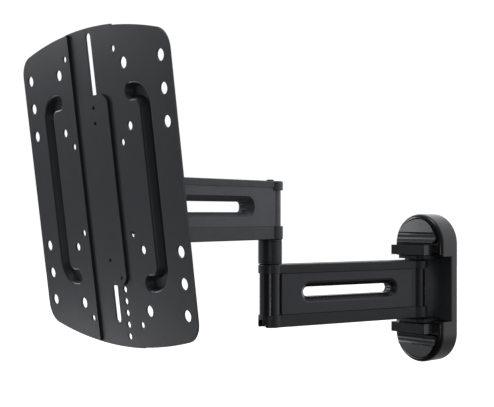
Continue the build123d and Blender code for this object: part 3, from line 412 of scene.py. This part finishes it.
@contextmanager
def editing(piece: bpy.types.Object, kind: str) -> Iterator[bmesh.types.BMesh]:
    """Opens a piece in edit mode with nothing selected.

    Args:
        piece: The piece to edit.
        kind: VERT, EDGE or FACE, the select mode.

    Returns:
        The edit mesh, for choosing what the next operator acts on.
    """
    take(piece)
    bpy.ops.object.mode_set(mode="EDIT")
    bpy.ops.mesh.select_mode(type=kind)
    bpy.ops.mesh.select_all(action="DESELECT")
    yield bmesh.from_edit_mesh(piece.data)
    bpy.ops.object.mode_set(mode="OBJECT")


def faces_up(centre: Vector, normal: Vector) -> bool:
    """Whether a face looks up the local z axis."""
    return normal.z > ALONG_AXIS


def faces_down(centre: Vector, normal: Vector) -> bool:
    """Whether a face looks down the local z axis."""
    return normal.z < -ALONG_AXIS


def stands(centre: Vector, way: Vector) -> bool:
    """Whether an edge runs along the local z axis."""
    return abs(way.z) > ALONG_AXIS


def line_of(edge: bmesh.types.BMEdge) -> tuple[Vector, Vector]:
    """An edge's middle and its direction."""
    start, end = (vertex.co for vertex in edge.verts)
    return (start + end) / 2, (end - start).normalized()


def is_sharp(edge: bmesh.types.BMEdge, angle: float) -> bool:
    """Whether two faces meet at an edge at more than an angle in degrees."""
    return len(edge.link_faces) == 2 and edge.calc_face_angle() > math.radians(angle)


class Work:
    """A piece on the bench: a primitive or a copy of a node, shaped step by step."""

    def __init__(self, piece: bpy.types.Object, name: str) -> None:
        """Takes a fresh object and names it.

        Args:
            piece: The object that was just added.
            name: The piece's name.
        """
        piece.name = name
        piece.data.name = name
        self.piece = piece

    @classmethod
    def fresh(cls, name: str) -> "Work":
        """Takes the primitive that was just added, with its place and size put in its mesh."""
        bpy.ops.object.transform_apply(location=True, rotation=True, scale=True)
        return cls(bpy.context.object, name)

    @classmethod
    def block(cls, name: str, low: Vector, high: Vector) -> "Work":
        """Adds a cube primitive stretched between two corners.

        Args:
            name: The piece's name.
            low: The lowest corner.
            high: The highest corner.

        Returns:
            The block.
        """
        deselect()
        bpy.ops.mesh.primitive_cube_add(size=1.0, location=(low + high) / 2, scale=high - low)
        return cls.fresh(name)

    @classmethod
    def drum(
        cls,
        name: str,
        radius: float,
        low: float,
        high: float,
        centre: tuple[float, float] = (0.0, 0.0),
        sides: int = ROUND_SIDES,
    ) -> "Work":
        """Adds a round primitive that stands on the local z axis.

        Args:
            name: The piece's name.
            radius: Its radius, over the corners.
            low: The height of its foot.
            high: The height of its top.
            centre: Where its axis stands.
            sides: The number of faces round it.

        Returns:
            The drum.
        """
        deselect()
        bpy.ops.mesh.primitive_cylinder_add(
            vertices=sides, radius=radius, depth=high - low, location=(*centre, (low + high) / 2)
        )
        return cls.fresh(name)

    @classmethod
    def copy_of(cls, node: str, place: Place) -> "Work":
        """A merged copy of a node, brought into a local frame to be worked on.

        Args:
            node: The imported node's name.
            place: The frame in which the copy is worked on.

        Returns:
            The copy with its loose triangles joined into whole faces.
        """
        take(frame["nodes"][node])
        bpy.ops.object.duplicate()
        piece = bpy.context.object
        piece.parent = None
        for key in list(piece.keys()):
            del piece[key]
        take(piece)
        bpy.ops.mesh.customdata_custom_splitnormals_clear()
        piece.matrix_world = place.matrix.inverted()
        bpy.ops.object.transform_apply(location=True, rotation=True, scale=True)
        with editing(piece, "VERT"):
            bpy.ops.mesh.select_all(action="SELECT")
            bpy.ops.mesh.remove_doubles(threshold=MERGE_GAP)
            bpy.ops.mesh.dissolve_limited(angle_limit=FLAT_ANGLE)
        return cls(piece, f"{node}_finished")

    def _act_on(self, chosen: list[bmesh.types.BMFace] | list[bmesh.types.BMEdge], act: Act) -> None:
        """Selects some elements of the open edit mesh and acts on them.

        Args:
            chosen: The faces or edges to select.
            act: The operator to run on them.
        """
        for element in chosen:
            element.select = True
        bmesh.update_edit_mesh(self.piece.data)
        if chosen:
            act()

    def faces(self, test: Test, act: Act) -> "Work":
        """Acts on the faces whose centre and normal pass a test.

        Args:
            test: Says whether a face is wanted.
            act: The operator to run on them.

        Returns:
            This piece.
        """
        with editing(self.piece, "FACE") as mesh:
            self._act_on([face for face in mesh.faces if test(face.calc_center_median(), face.normal)], act)
        return self

    def edges(self, test: Test, act: Act, sharper: float | None = None) -> "Work":
        """Acts on the edges whose middle and direction pass a test.

        Args:
            test: Says whether an edge is wanted.
            act: The operator to run on them.
            sharper: Where given, the least angle between an edge's two faces, in degrees.

        Returns:
            This piece.
        """
        with editing(self.piece, "EDGE") as mesh:
            chosen = [
                edge for edge in mesh.edges
                if (sharper is None or is_sharp(edge, sharper)) and test(*line_of(edge))
            ]
            self._act_on(chosen, act)
        return self

    def widen(self, test: Test, ratio: float) -> "Work":
        """Resizes some faces sideways by a ratio."""
        return self.faces(test, lambda: bpy.ops.transform.resize(value=(ratio, ratio, 1.0)))

    def ledge(self, test: Test, ratio: float) -> "Work":
        """Extrudes some faces in place and widens them, which leaves a ledge round them."""
        return self.faces(test, lambda: bpy.ops.mesh.extrude_region_move()).widen(test, ratio)

    def pull(self, test: Test, rise: float) -> "Work":
        """Extrudes some faces along the local z axis."""
        move = {"value": (0, 0, rise)}
        return self.faces(test, lambda: bpy.ops.mesh.extrude_region_move(TRANSFORM_OT_translate=move))

    def cut(self, *tools: "Work") -> "Work":
        """Takes other pieces' shapes out of this one and puts them away."""
        return self._combine("DIFFERENCE", tools)

    def keep(self, *tools: "Work") -> "Work":
        """Keeps only what this piece shares with each of the others."""
        return self._combine("INTERSECT", tools)

    def _combine(self, operation: str, tools: tuple["Work", ...]) -> "Work":
        """Applies a Boolean modifier with each tool in turn.

        Args:
            operation: DIFFERENCE or INTERSECT.
            tools: The other pieces, which are put away.

        Returns:
            This piece.
        """
        for tool in tools:
            take(self.piece)
            modifier = self.piece.modifiers.new("combine", "BOOLEAN")
            modifier.operation = operation
            modifier.solver = "EXACT"
            modifier.object = tool.piece
            bpy.ops.object.modifier_apply(modifier=modifier.name)
            bpy.data.objects.remove(tool.piece)
        return self

    def soften(self, width: float, segments: int = 2, angle: float = 28.0) -> "Work":
        """Rounds every edge sharper than an angle.

        Args:
            width: The width of the rounding.
            segments: The number of faces across it.
            angle: The least angle between two faces, in degrees.

        Returns:
            This piece.
        """
        take(self.piece)
        modifier = self.piece.modifiers.new("soften", "BEVEL")
        modifier.width = width
        modifier.segments = segments
        modifier.limit_method = "ANGLE"
        modifier.angle_limit = math.radians(angle)
        modifier.miter_outer = "MITER_ARC"
        modifier.use_clamp_overlap = True
        bpy.ops.object.modifier_apply(modifier=modifier.name)
        return self

    def copied(self, move: Vector) -> "Work":
        """Copies the piece, mesh and all.

        Args:
            move: How far the copy is moved in the local frame.

        Returns:
            The copy.
        """
        twin = self.piece.copy()
        twin.data = self.piece.data.copy()
        bpy.context.scene.collection.objects.link(twin)
        twin.data.transform(Matrix.Translation(move))
        return Work(twin, f"{self.piece.name}_twin")

    def joined(self, others: "list[Work]") -> "Work":
        """Takes loose twins into this piece's mesh, as separate shells.

        Args:
            others: The twins.

        Returns:
            This piece.
        """
        take(self.piece)
        for other in others:
            other.piece.select_set(True)
        if others:
            bpy.ops.object.join()
        return self

    def repeated(self, moves: list[Vector]) -> "Work":
        """Sets the piece at the first of some places and a twin at each of the rest.

        Args:
            moves: The places in the local frame.

        Returns:
            This piece, joined with its twins.
        """
        twins = [self.copied(move) for move in moves[1:]]
        self.piece.data.transform(Matrix.Translation(moves[0]))
        return self.joined(twins)

    def seat(self, place: Place) -> "Work":
        """Moves the shape from its local frame into the mount and shades it smooth.

        Args:
            place: The frame in which it was modelled.

        Returns:
            This piece.
        """
        take(self.piece)
        self.piece.matrix_world = place.matrix
        bpy.ops.object.transform_apply(location=True, rotation=True, scale=True)
        bpy.ops.object.shade_smooth_by_angle(angle=SMOOTH_ANGLE)
        modifier = self.piece.modifiers.new("even", "WEIGHTED_NORMAL")
        modifier.mode = "FACE_AREA"
        modifier.weight = NORMAL_WEIGHT
        modifier.keep_sharp = True
        bpy.ops.object.modifier_apply(modifier=modifier.name)
        return self


@dataclass(frozen=True)
class Pivot:
    """The shared shapes of the fasteners that hold the mount together."""

    bore: float = 5.1 * MM
    edge: float = 0.35 * MM
    socket: float = 3.6 * MM
    socket_depth: float = 3.2 * MM
    groove: float = 0.35 * MM
    turned_share: float = 0.14
    nut_edge_share: float = 0.6

    def bolt(
        self, name: str, head: float, seat: float, top: float, end: float, shank: float
    ) -> Work:
        """A cap screw: a round head with a hexagonal socket, on a plain shank.

        Args:
            name: The piece's name.
            head: The head's radius.
            seat: The height of the head's underside.
            top: The height of the head's top.
            end: The height where the shank ends.
            shank: The shank's radius.

        Returns:
            The bolt, upright on the local z axis.
        """
        work = Work.drum(name, shank, end, seat)
        work.ledge(faces_up, head / shank)
        work.pull(faces_up, top - seat)
        work.cut(Work.drum("socket", self.socket, top - self.socket_depth, 2 * top - seat, sides=HEX_SIDES))
        return work.soften(self.edge)

    def nut(self, name: str, across: float, low: float, high: float, bore: float) -> Work:
        """A hexagon nut whose corners are turned off at both faces.

        Args:
            name: The piece's name.
            across: The width across its flats.
            low: The height of its lower face.
            high: The height of its upper face.
            bore: The radius of its hole.

        Returns:
            The nut, upright on the local z axis.
        """
        corner = across / math.sqrt(3.0)
        work = Work.drum(name, corner, low, high, sides=HEX_SIDES)
        turned = Work.drum("turned", corner, low, high)
        work.keep(turned.soften((high - low) * self.turned_share, 2))
        work.cut(Work.drum("bore", bore, 2 * low - high, 2 * high - low))
        return work.soften(self.edge * self.nut_edge_share)

    def washer(self, name: str, radius: float, low: float, high: float, bore: float) -> Work:
        """A flat washer with rounded edges.

        Args:
            name: The piece's name.
            radius: Its outer radius.
            low: The height of its lower face.
            high: The height of its upper face.
            bore: The radius of its hole.

        Returns:
            The washer, upright on the local z axis.
        """
        work = Work.drum(name, radius, low, high)
        work.cut(Work.drum("bore", bore, 2 * low - high, 2 * high - low))
        return work.soften(self.edge)


FASTENER = Pivot()


def upright(node: str) -> tuple[Place, float, float, float]:
    """The axis and extent of an upright round node.

    Args:
        node: The node's name.

    Returns:
        Its frame with z up on its own axis, its lowest and highest height, and its half width.
    """
    low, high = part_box(node)
    centre = (low + high) / 2
    place = Place(Vector((centre.x, centre.y, 0.0)), RIGHT, Vector((0.0, 1.0, 0.0)))
    return place, low.z, high.z, (high.x - low.x) / 2


@dataclass
class Assembly:
    """A body of the mount whose pieces are built in order and dressed from a palette."""

    palette: Palette
    body: ClassVar[str] = ""
    bolt_head: ClassVar[float] = 5.5 * MM

    def put(self, work: Work, node: str) -> bpy.types.Object:
        """Dresses a finished piece, lets it ride on this body and stand for a node.

        Args:
            work: The finished piece, already seated.
            node: The node that it stands for.

        Returns:
            The piece's object.
        """
        slot = SLOTS[node]
        self.palette.dress(work.piece, slot)
        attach(work.piece, self.body)
        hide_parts(node)
        count = len(work.piece.data.polygons)
        LOG.info("%s stands for %s in %s, %d faces", work.piece.name, node, slot, count)
        return work.piece

    def refine(self, node: str, place: Place, width: float, segments: int = 2) -> bpy.types.Object:
        """Replaces a node by a copy of itself with softened edges."""
        return self.put(Work.copy_of(node, place).soften(width, segments).seat(place), node)

    def pivot_bolt(self, node: str, shank: float = 5.0 * MM) -> None:
        """Models an upright pivot bolt with its head on top.

        Args:
            node: The bolt's node.
            shank: The radius of its shank.
        """
        place, low, high, radius = upright(node)
        work = FASTENER.bolt(f"{node}_turned", radius, high - self.bolt_head, high, low, shank)
        self.put(work.seat(place), node)

    def pivot_nut(self, node: str, across: float = 16.0 * MM) -> None:
        """Models an upright pivot nut."""
        place, low, high, _ = upright(node)
        self.put(FASTENER.nut(f"{node}_turned", across, low, high, FASTENER.bore).seat(place), node)

    def pivot_washer(self, node: str) -> None:
        """Models an upright pivot washer."""
        place, low, high, radius = upright(node)
        self.put(FASTENER.washer(f"{node}_pressed", radius, low, high, FASTENER.bore).seat(place), node)

    def build(self) -> None:
        """Builds every piece of the body."""
        raise NotImplementedError


# ---------------------------------------------------------------- wall base


@dataclass
class WallBase(Assembly):
    """The moulded base on the wall, with its pivot bracket, centre panel and two caps."""

    cover_edge: float = 0.5 * MM
    panel_edge: float = 0.4 * MM
    bracket_edge: float = 0.6 * MM
    cap_edge: float = 1.2 * MM
    cap_segments: int = 4
    body: ClassVar[str] = "wall_base"

    def build(self) -> None:
        """Builds the base from the wall outwards."""
        self.refine("wall_plate", WALL, self.panel_edge)
        self.refine("pivot_bracket", WALL, self.bracket_edge)
        self.refine("base_cover", WALL, self.cover_edge)
        self.refine("centre_panel", WALL, self.panel_edge)
        for node in ("upper_cap", "lower_cap"):
            self.refine(node, WALL, self.cap_edge, self.cap_segments)
        self.pivot_bolt("wall_pivot_bolt")
        self.pivot_nut("wall_pivot_nut")


# ---------------------------------------------------------------- arms


@dataclass
class Arm(Assembly):
    """What both arms share: a core with its side panels, top cover and cable tray."""

    edge: float = 0.6 * MM
    rim: float = 1.2 * MM
    rim_segments: int = 3

    def shells(self, place: Place) -> None:
        """Builds the core, panels, cover and tray.

        Args:
            place: The arm's frame.
        """
        self.refine(f"{self.body}_core", place, self.edge)
        for side in ("right", "left"):
            self.refine(f"{self.body}_panel_{side}", place, self.rim, self.rim_segments)
        self.refine(f"{self.body}_top_cover", place, self.edge)
        self.refine(f"{self.body}_cable_tray", place, self.edge)


@dataclass
class LowerArm(Arm):
    """The arm between the wall pivot and the elbow."""

    body: ClassVar[str] = "lower_arm"

    def build(self) -> None:
        """Builds the arm's shells."""
        self.shells(along(WALL_PIVOT, ELBOW_PIVOT))


@dataclass
class UpperArm(Arm):
    """The arm between the elbow and the head, with the post that joins the two arms."""

    groove_from_end: float = 2.2 * MM
    groove_sides: int = 128
    groove_section: int = 12
    plug: float = 3.0 * MM
    dome_round: float = 0.8
    dome_segments: int = 5
    rim_reach: float = 0.01 * MM
    dome_height: float = 1.8 * MM
    body: ClassVar[str] = "upper_arm"

    def build(self) -> None:
        """Builds the post, its fasteners and cap, and the arm's shells."""
        self.post()
        self.pivot_bolt("elbow_bolt")
        self.pivot_washer("elbow_washer")
        self.pivot_nut("elbow_nut")
        self.dome()
        self.shells(along(ELBOW_PIVOT, HEAD_PIVOT))

    def post(self) -> None:
        """Models the post between the arms, with a fine groove near each end."""
        place, low, high, radius = upright("elbow_post")
        work = Work.drum("elbow_post_turned", radius, low, high, sides=self.groove_sides)
        work.cut(Work.drum("bore", FASTENER.bore, 2 * low - high, 2 * high - low))
        work.soften(self.edge)
        for height in (low + self.groove_from_end, high - self.groove_from_end):
            deselect()
            bpy.ops.mesh.primitive_torus_add(
                location=(0.0, 0.0, height), major_radius=radius, minor_radius=FASTENER.groove,
                major_segments=self.groove_sides, minor_segments=self.groove_section,
            )
            work.cut(Work.fresh("groove"))
        self.put(work.seat(place), "elbow_post")

    def dome(self) -> None:
        """Models the small domed plug over the elbow bolt."""
        place, low, high, radius = upright("elbow_cap")
        work = Work.drum("elbow_cap_moulded", self.plug, low, high - self.dome_height)
        work.ledge(faces_up, radius / self.plug)
        work.pull(faces_up, self.dome_height)
        offset = self.dome_height * self.dome_round
        work.edges(
            lambda centre, way: centre.z > high - self.rim_reach,
            lambda: bpy.ops.mesh.bevel(offset=offset, segments=self.dome_segments, affect="EDGES"),
        )
        self.put(work.seat(place), "elbow_cap")


# ---------------------------------------------------------------- head


@dataclass
class SwivelHead(Assembly):
    """The yoke that swivels at the end of the upper arm."""

    edge: float = 0.6 * MM
    body: ClassVar[str] = "swivel_head"

    def build(self) -> None:
        """Builds the yoke and its bolt, washer and nut."""
        self.refine("swivel_yoke", WALL, self.edge)
        self.pivot_bolt("head_bolt")
        self.pivot_washer("head_washer")
        self.pivot_nut("head_nut")


@dataclass
class TiltFrame(Assembly):
    """The bracket that tilts on the yoke, and the strip that holds the plate to it."""

    edge: float = 0.5 * MM
    corner: float = 6.0 * MM
    corner_round: float = 2.4 * MM
    corner_segments: int = 5
    screw_v: tuple[float, ...] = (68.0 * MM, 55.0 * MM, -60.0 * MM)
    screw_hole: float = 2.6 * MM
    screw_head: float = 4.6 * MM
    head_depth: float = 1.5 * MM
    shank: float = 2.5 * MM
    socket: float = 1.6 * MM
    socket_depth: float = 1.4 * MM
    fit: float = 0.1 * MM
    drill: float = 4.0
    strip_edge_share: float = 0.6
    screw_edge_share: float = 0.4
    index_u: float = 14.5 * MM
    index_v: float = -74.5 * MM
    body: ClassVar[str] = "tilt_frame"

    def build(self) -> None:
        """Builds the bracket, the strip and its screws."""
        place = plate_place()
        self.refine("tilt_bracket", place, self.edge)
        self.put(self.strip(place), "retaining_strip")
        self.put(self.screws(place), "strip_screws")

    def strip(self, place: Place) -> Work:
        """Models the flat strip: cut corners, countersinks and the index screw's hole.

        Args:
            place: The plate's frame.

        Returns:
            The strip, seated.
        """
        low, high = place_box("retaining_strip", place)
        work = Work.block("retaining_strip_punched", low, high)
        for offset, segments in ((self.corner, 1), (self.corner_round, self.corner_segments)):
            work.edges(
                stands, lambda: bpy.ops.mesh.bevel(offset=offset, segments=segments, affect="EDGES")
            )
        deep = self.drill * (high.z - low.z)
        for v in self.screw_v:
            work.cut(self.countersink(v, self.screw_head + self.fit))
            work.cut(Work.drum("hole", self.screw_hole, -deep, deep, (0.0, v)))
        work.cut(Work.drum("hole", self.screw_hole, -deep, deep, (self.index_u, self.index_v)))
        return work.soften(self.edge * self.strip_edge_share).seat(place)

    def countersink(self, v: float, radius: float) -> Work:
        """A cone whose wide end lies in the strip's front face.

        Args:
            v: The height of its axis up the plate.
            radius: The radius of its wide end.

        Returns:
            The cone.
        """
        deselect()
        bpy.ops.mesh.primitive_cone_add(
            vertices=ROUND_SIDES, radius1=self.screw_hole, radius2=radius, depth=self.head_depth,
            location=(0.0, v, -self.head_depth / 2),
        )
        return Work.fresh("countersink")

    def screws(self, place: Place) -> Work:
        """Models one countersunk socket screw and copies it to each place in the strip.

        Args:
            place: The plate's frame.

        Returns:
            The screws, seated.
        """
        low, _ = place_box("strip_screws", place)
        head = self.countersink(0.0, self.screw_head)
        head.widen(faces_down, self.shank / self.screw_hole)
        head.pull(faces_down, low.z + self.head_depth)
        head.cut(Work.drum("socket", self.socket, -self.socket_depth, self.socket_depth, sides=HEX_SIDES))
        head.soften(self.edge * self.screw_edge_share)
        head.piece.name = "strip_screws_turned"
        return head.repeated([Vector((0.0, v, 0.0)) for v in self.screw_v]).seat(place)


def plate_place() -> Place:
    """The frame of the television plate, whose origin is in the wings' front face.

    The sheet's thickness follows from how deep and how tall the leaning centre plate's box is.
    The centre plate lies behind the wings, so its middle is one and a half sheets behind the front.

    Returns:
        The frame: x right, y up the plate, z out to the room.
    """
    size = span("centre_plate")
    lean = PLATE_UP.y / PLATE_UP.z
    thickness = (size.y - size.z * abs(lean)) / (PLATE_UP.z - abs(PLATE_UP.y * lean))
    origin = middle("centre_plate") + PLATE_OUT * (SHEETS_BEHIND * thickness)
    return Place(origin, RIGHT, PLATE_UP)


def place_box(node: str, place: Place) -> tuple[Vector, Vector]:
    """A node's extent measured along a place's own axes.

    Args:
        node: The node's name.
        place: The frame whose axes are used.

    Returns:
        Its lowest and highest corners in that frame.
    """
    owner = frame["nodes"][node]
    points = [place.local(owner.matrix_world @ corner.co) for corner in owner.data.vertices]
    low = Vector(tuple(min(point[axis] for point in points) for axis in range(3)))
    high = Vector(tuple(max(point[axis] for point in points) for axis in range(3)))
    return low, high


@dataclass
class TelevisionPlate(Assembly):
    """The plate that carries the television: a sliding centre plate and two wings."""

    edge: float = 0.45 * MM
    bead_edge: float = 1.5 * MM
    bead_segments: int = 4
    bead_u: float = 74.0 * MM
    bead_v: float = 77.0 * MM
    bead_end_u: float = 56.0 * MM
    bead_corner: float = 14.0 * MM
    bead_half: float = 6.5 * MM
    mouth_angle: float = 25.0
    mouth_depth: float = 0.05 * MM
    mouth_reach: float = 0.3 * MM
    body: ClassVar[str] = "tv_plate"

    def build(self) -> None:
        """Builds the centre plate and the wings."""
        place = plate_place()
        self.refine("centre_plate", place, self.edge)
        for node in ("left_wing", "right_wing"):
            self.put(self.wing(node, place), node)

    def wing(self, node: str, place: Place) -> Work:
        """Models a wing with soft bends where its bead is pressed in.

        Args:
            node: The wing's node.
            place: The plate's frame.

        Returns:
            The wing, seated.
        """
        work = Work.copy_of(node, place)
        work.edges(
            lambda centre, way: abs(centre.z) < self.mouth_depth
            and abs(self.from_bead(centre) - self.bead_half) < self.mouth_reach,
            lambda: bpy.ops.mesh.bevel(offset=self.bead_edge, segments=self.bead_segments, affect="EDGES"),
            sharper=self.mouth_angle,
        )
        return work.soften(self.edge).seat(place)

    def from_bead(self, point: Vector) -> float:
        """How far a point of the wing is from the middle line of its bead.

        Args:
            point: The point in the plate's frame.

        Returns:
            The distance.
        """
        u, v = abs(point.x), abs(point.y)
        bend_u, bend_v = self.bead_u - self.bead_corner, self.bead_v - self.bead_corner
        if v < bend_v:
            return abs(u - self.bead_u)
        if u > bend_u:
            return abs(math.hypot(u - bend_u, v - bend_v) - self.bead_corner)
        return math.hypot(max(self.bead_end_u - u, 0.0), v - self.bead_v)


# ---------------------------------------------------------------- studio


@dataclass(frozen=True)
class Softbox:
    """A square lamp aimed at the middle of the mount."""

    name: str
    position: Vector
    size: float
    power: float


SOFTBOXES = (
    Softbox("top", Vector((0.2, -0.6, 1.9)), 0.9, 7.0),
    Softbox("left", Vector((-0.454, -0.816, 0.003)), 0.35, 0.13),
    Softbox("left_high", Vector((-0.908, -0.678, 0.51)), 0.34, 2.8),
    Softbox("left_low", Vector((-0.908, -0.678, -0.44)), 0.34, 2.2),
    Softbox("slope_low", Vector((-0.78, -0.76, -0.64)), 0.34, 0.45),
)


@dataclass
class Studio:
    """A plain pale floor, soft light and the camera."""

    eye: Vector = Vector((0.699, -0.8805, 0.0825))
    gaze: Vector = Vector((-0.757, 0.653, 0.0))
    lens: float = 71.3
    rise: float = 0.0206
    bright_side: Vector = Vector((-0.2, 0.98, 0.1))
    near_light: float = 0.13
    far_light: float = 1.15
    under_light: float = 0.3
    light_colour: tuple[float, float, float] = (0.95, 0.965, 1.0)
    backdrop: float = 1.07
    strip_width: float = 0.03
    strip_height: float = 0.103
    strip_z: float = -0.0735
    strip_power: float = 0.45
    floor_drop: float = 0.35
    floor_size: float = 14.0
    side_start: float = -0.55
    under_start: float = -0.5
    under_end: float = 0.05
    paper_shade: float = 0.86
    paper_glow: float = 0.75
    paper_roughness: float = 0.9
    clip: tuple[float, float] = (0.01, 50.0)

    def build(self) -> None:
        """Sets the world, floor, lights and camera."""
        self.world()
        self.floor()
        self.lights()
        self.camera()

    def world(self) -> None:
        """A white surround, brightest at the wall's side, and dim below and on the near side."""
        world = bpy.data.worlds.new("studio")
        world.use_nodes = True
        nodes, links = world.node_tree.nodes, world.node_tree.links
        place = nodes.new("ShaderNodeTexCoord")
        facing = nodes.new("ShaderNodeVectorMath")
        facing.operation = "DOT_PRODUCT"
        facing.inputs[1].default_value = self.bright_side.normalized()
        links.new(place.outputs["Generated"], facing.inputs[0])
        fall = nodes.new("ShaderNodeMapRange")
        fall.interpolation_type = "SMOOTHSTEP"
        fall.inputs["From Min"].default_value = self.side_start
        fall.inputs["To Min"].default_value = self.near_light
        fall.inputs["To Max"].default_value = self.far_light
        links.new(facing.outputs["Value"], fall.inputs["Value"])
        split = nodes.new("ShaderNodeSeparateXYZ")
        links.new(place.outputs["Generated"], split.inputs["Vector"])
        under = nodes.new("ShaderNodeMapRange")
        under.interpolation_type = "SMOOTHSTEP"
        under.inputs["From Min"].default_value = self.under_start
        under.inputs["From Max"].default_value = self.under_end
        under.inputs["To Min"].default_value = self.under_light
        links.new(split.outputs["Z"], under.inputs["Value"])
        dimmed = nodes.new("ShaderNodeMath")
        dimmed.operation = "MULTIPLY"
        links.new(fall.outputs["Result"], dimmed.inputs[0])
        links.new(under.outputs["Result"], dimmed.inputs[1])
        seen = nodes.new("ShaderNodeLightPath")
        white = nodes.new("ShaderNodeMix")
        white.inputs["B"].default_value = self.backdrop
        links.new(seen.outputs["Is Camera Ray"], white.inputs["Factor"])
        links.new(dimmed.outputs["Value"], white.inputs["A"])
        back = nodes["Background"]
        back.inputs["Color"].default_value = (*self.light_colour, 1.0)
        links.new(white.outputs["Result"], back.inputs["Strength"])
        bpy.context.scene.world = world
        bpy.context.scene.view_settings.view_transform = "Standard"

    def floor(self) -> None:
        """A plain white floor well below the mount."""
        deselect()
        height = CAD_LOW.z - self.floor_drop
        bpy.ops.mesh.primitive_plane_add(size=self.floor_size, location=(0.0, 0.0, height))
        bpy.ops.object.transform_apply(location=True, rotation=True, scale=True)
        sheet = bpy.context.object
        sheet.name = "studio_floor"
        paper = bpy.data.materials.new("studio_paper")
        paper.use_nodes = True
        shader = paper.node_tree.nodes["Principled BSDF"]
        shader.inputs["Roughness"].default_value = self.paper_roughness
        shader.inputs["Base Color"].default_value = (*[self.paper_shade] * 3, 1.0)
        shader.inputs["Emission Color"].default_value = (1.0, 1.0, 1.0, 1.0)
        shader.inputs["Emission Strength"].default_value = self.paper_glow
        sheet.data.materials.append(paper)
        sheet.visible_diffuse = False
        sheet.visible_glossy = False

    def lights(self) -> None:
        """Hangs the soft boxes, and the strip that draws a narrow line of light on the elbow."""
        for box in SOFTBOXES:
            lamp = bpy.data.lights.new(f"softbox_{box.name}", "AREA")
            lamp.size = box.size
            lamp.color = self.light_colour
            lamp.energy = box.power
            self.hang(lamp, box.position, (CAD_LOW + CAD_HIGH) / 2 - box.position)
        lamp = bpy.data.lights.new("strip_light", "AREA")
        lamp.shape = "RECTANGLE"
        lamp.size = self.strip_width
        lamp.size_y = self.strip_height
        lamp.energy = self.strip_power
        level = Vector((ELBOW_PIVOT.x - self.eye.x, ELBOW_PIVOT.y - self.eye.y, 0.0))
        self.hang(lamp, Vector((self.eye.x, self.eye.y, self.strip_z)), level)

    def hang(
        self, held: bpy.types.Light | bpy.types.Camera, position: Vector, aim: Vector
    ) -> bpy.types.Object:
        """Stands a lamp or a camera in the studio.

        Args:
            held: The lamp or the camera.
            position: Where it stands.
            aim: The way it looks.

        Returns:
            The object that holds it.
        """
        holder = bpy.data.objects.new(held.name, held)
        bpy.context.scene.collection.objects.link(holder)
        holder.location = position
        holder.rotation_mode = "QUATERNION"
        holder.rotation_quaternion = aim.to_track_quat("-Z", "Y")
        return holder

    def camera(self) -> None:
        """Stands the camera level with the arms, off to the right of the plate."""
        lens = bpy.data.cameras.new("camera")
        lens.lens = self.lens
        lens.shift_y = self.rise
        lens.clip_start, lens.clip_end = self.clip
        bpy.context.scene.camera = self.hang(lens, self.eye, self.gaze)


# ---------------------------------------------------------------- assembly


def main() -> None:
    """Builds the studio and every body of the mount."""
    logging.basicConfig(level=logging.INFO, format="%(name)s: %(message)s")
    palette = Palette()
    for node in sorted(frame["nodes"]):
        LOG.info("%s is dressed in %s", node, palette.dress_node(node))
    Studio().build()
    for assembly in (
        WallBase(palette),
        LowerArm(palette),
        UpperArm(palette),
        SwivelHead(palette),
        TiltFrame(palette),
        TelevisionPlate(palette),
    ):
        assembly.build()


if __name__ == "__main__":
    main()
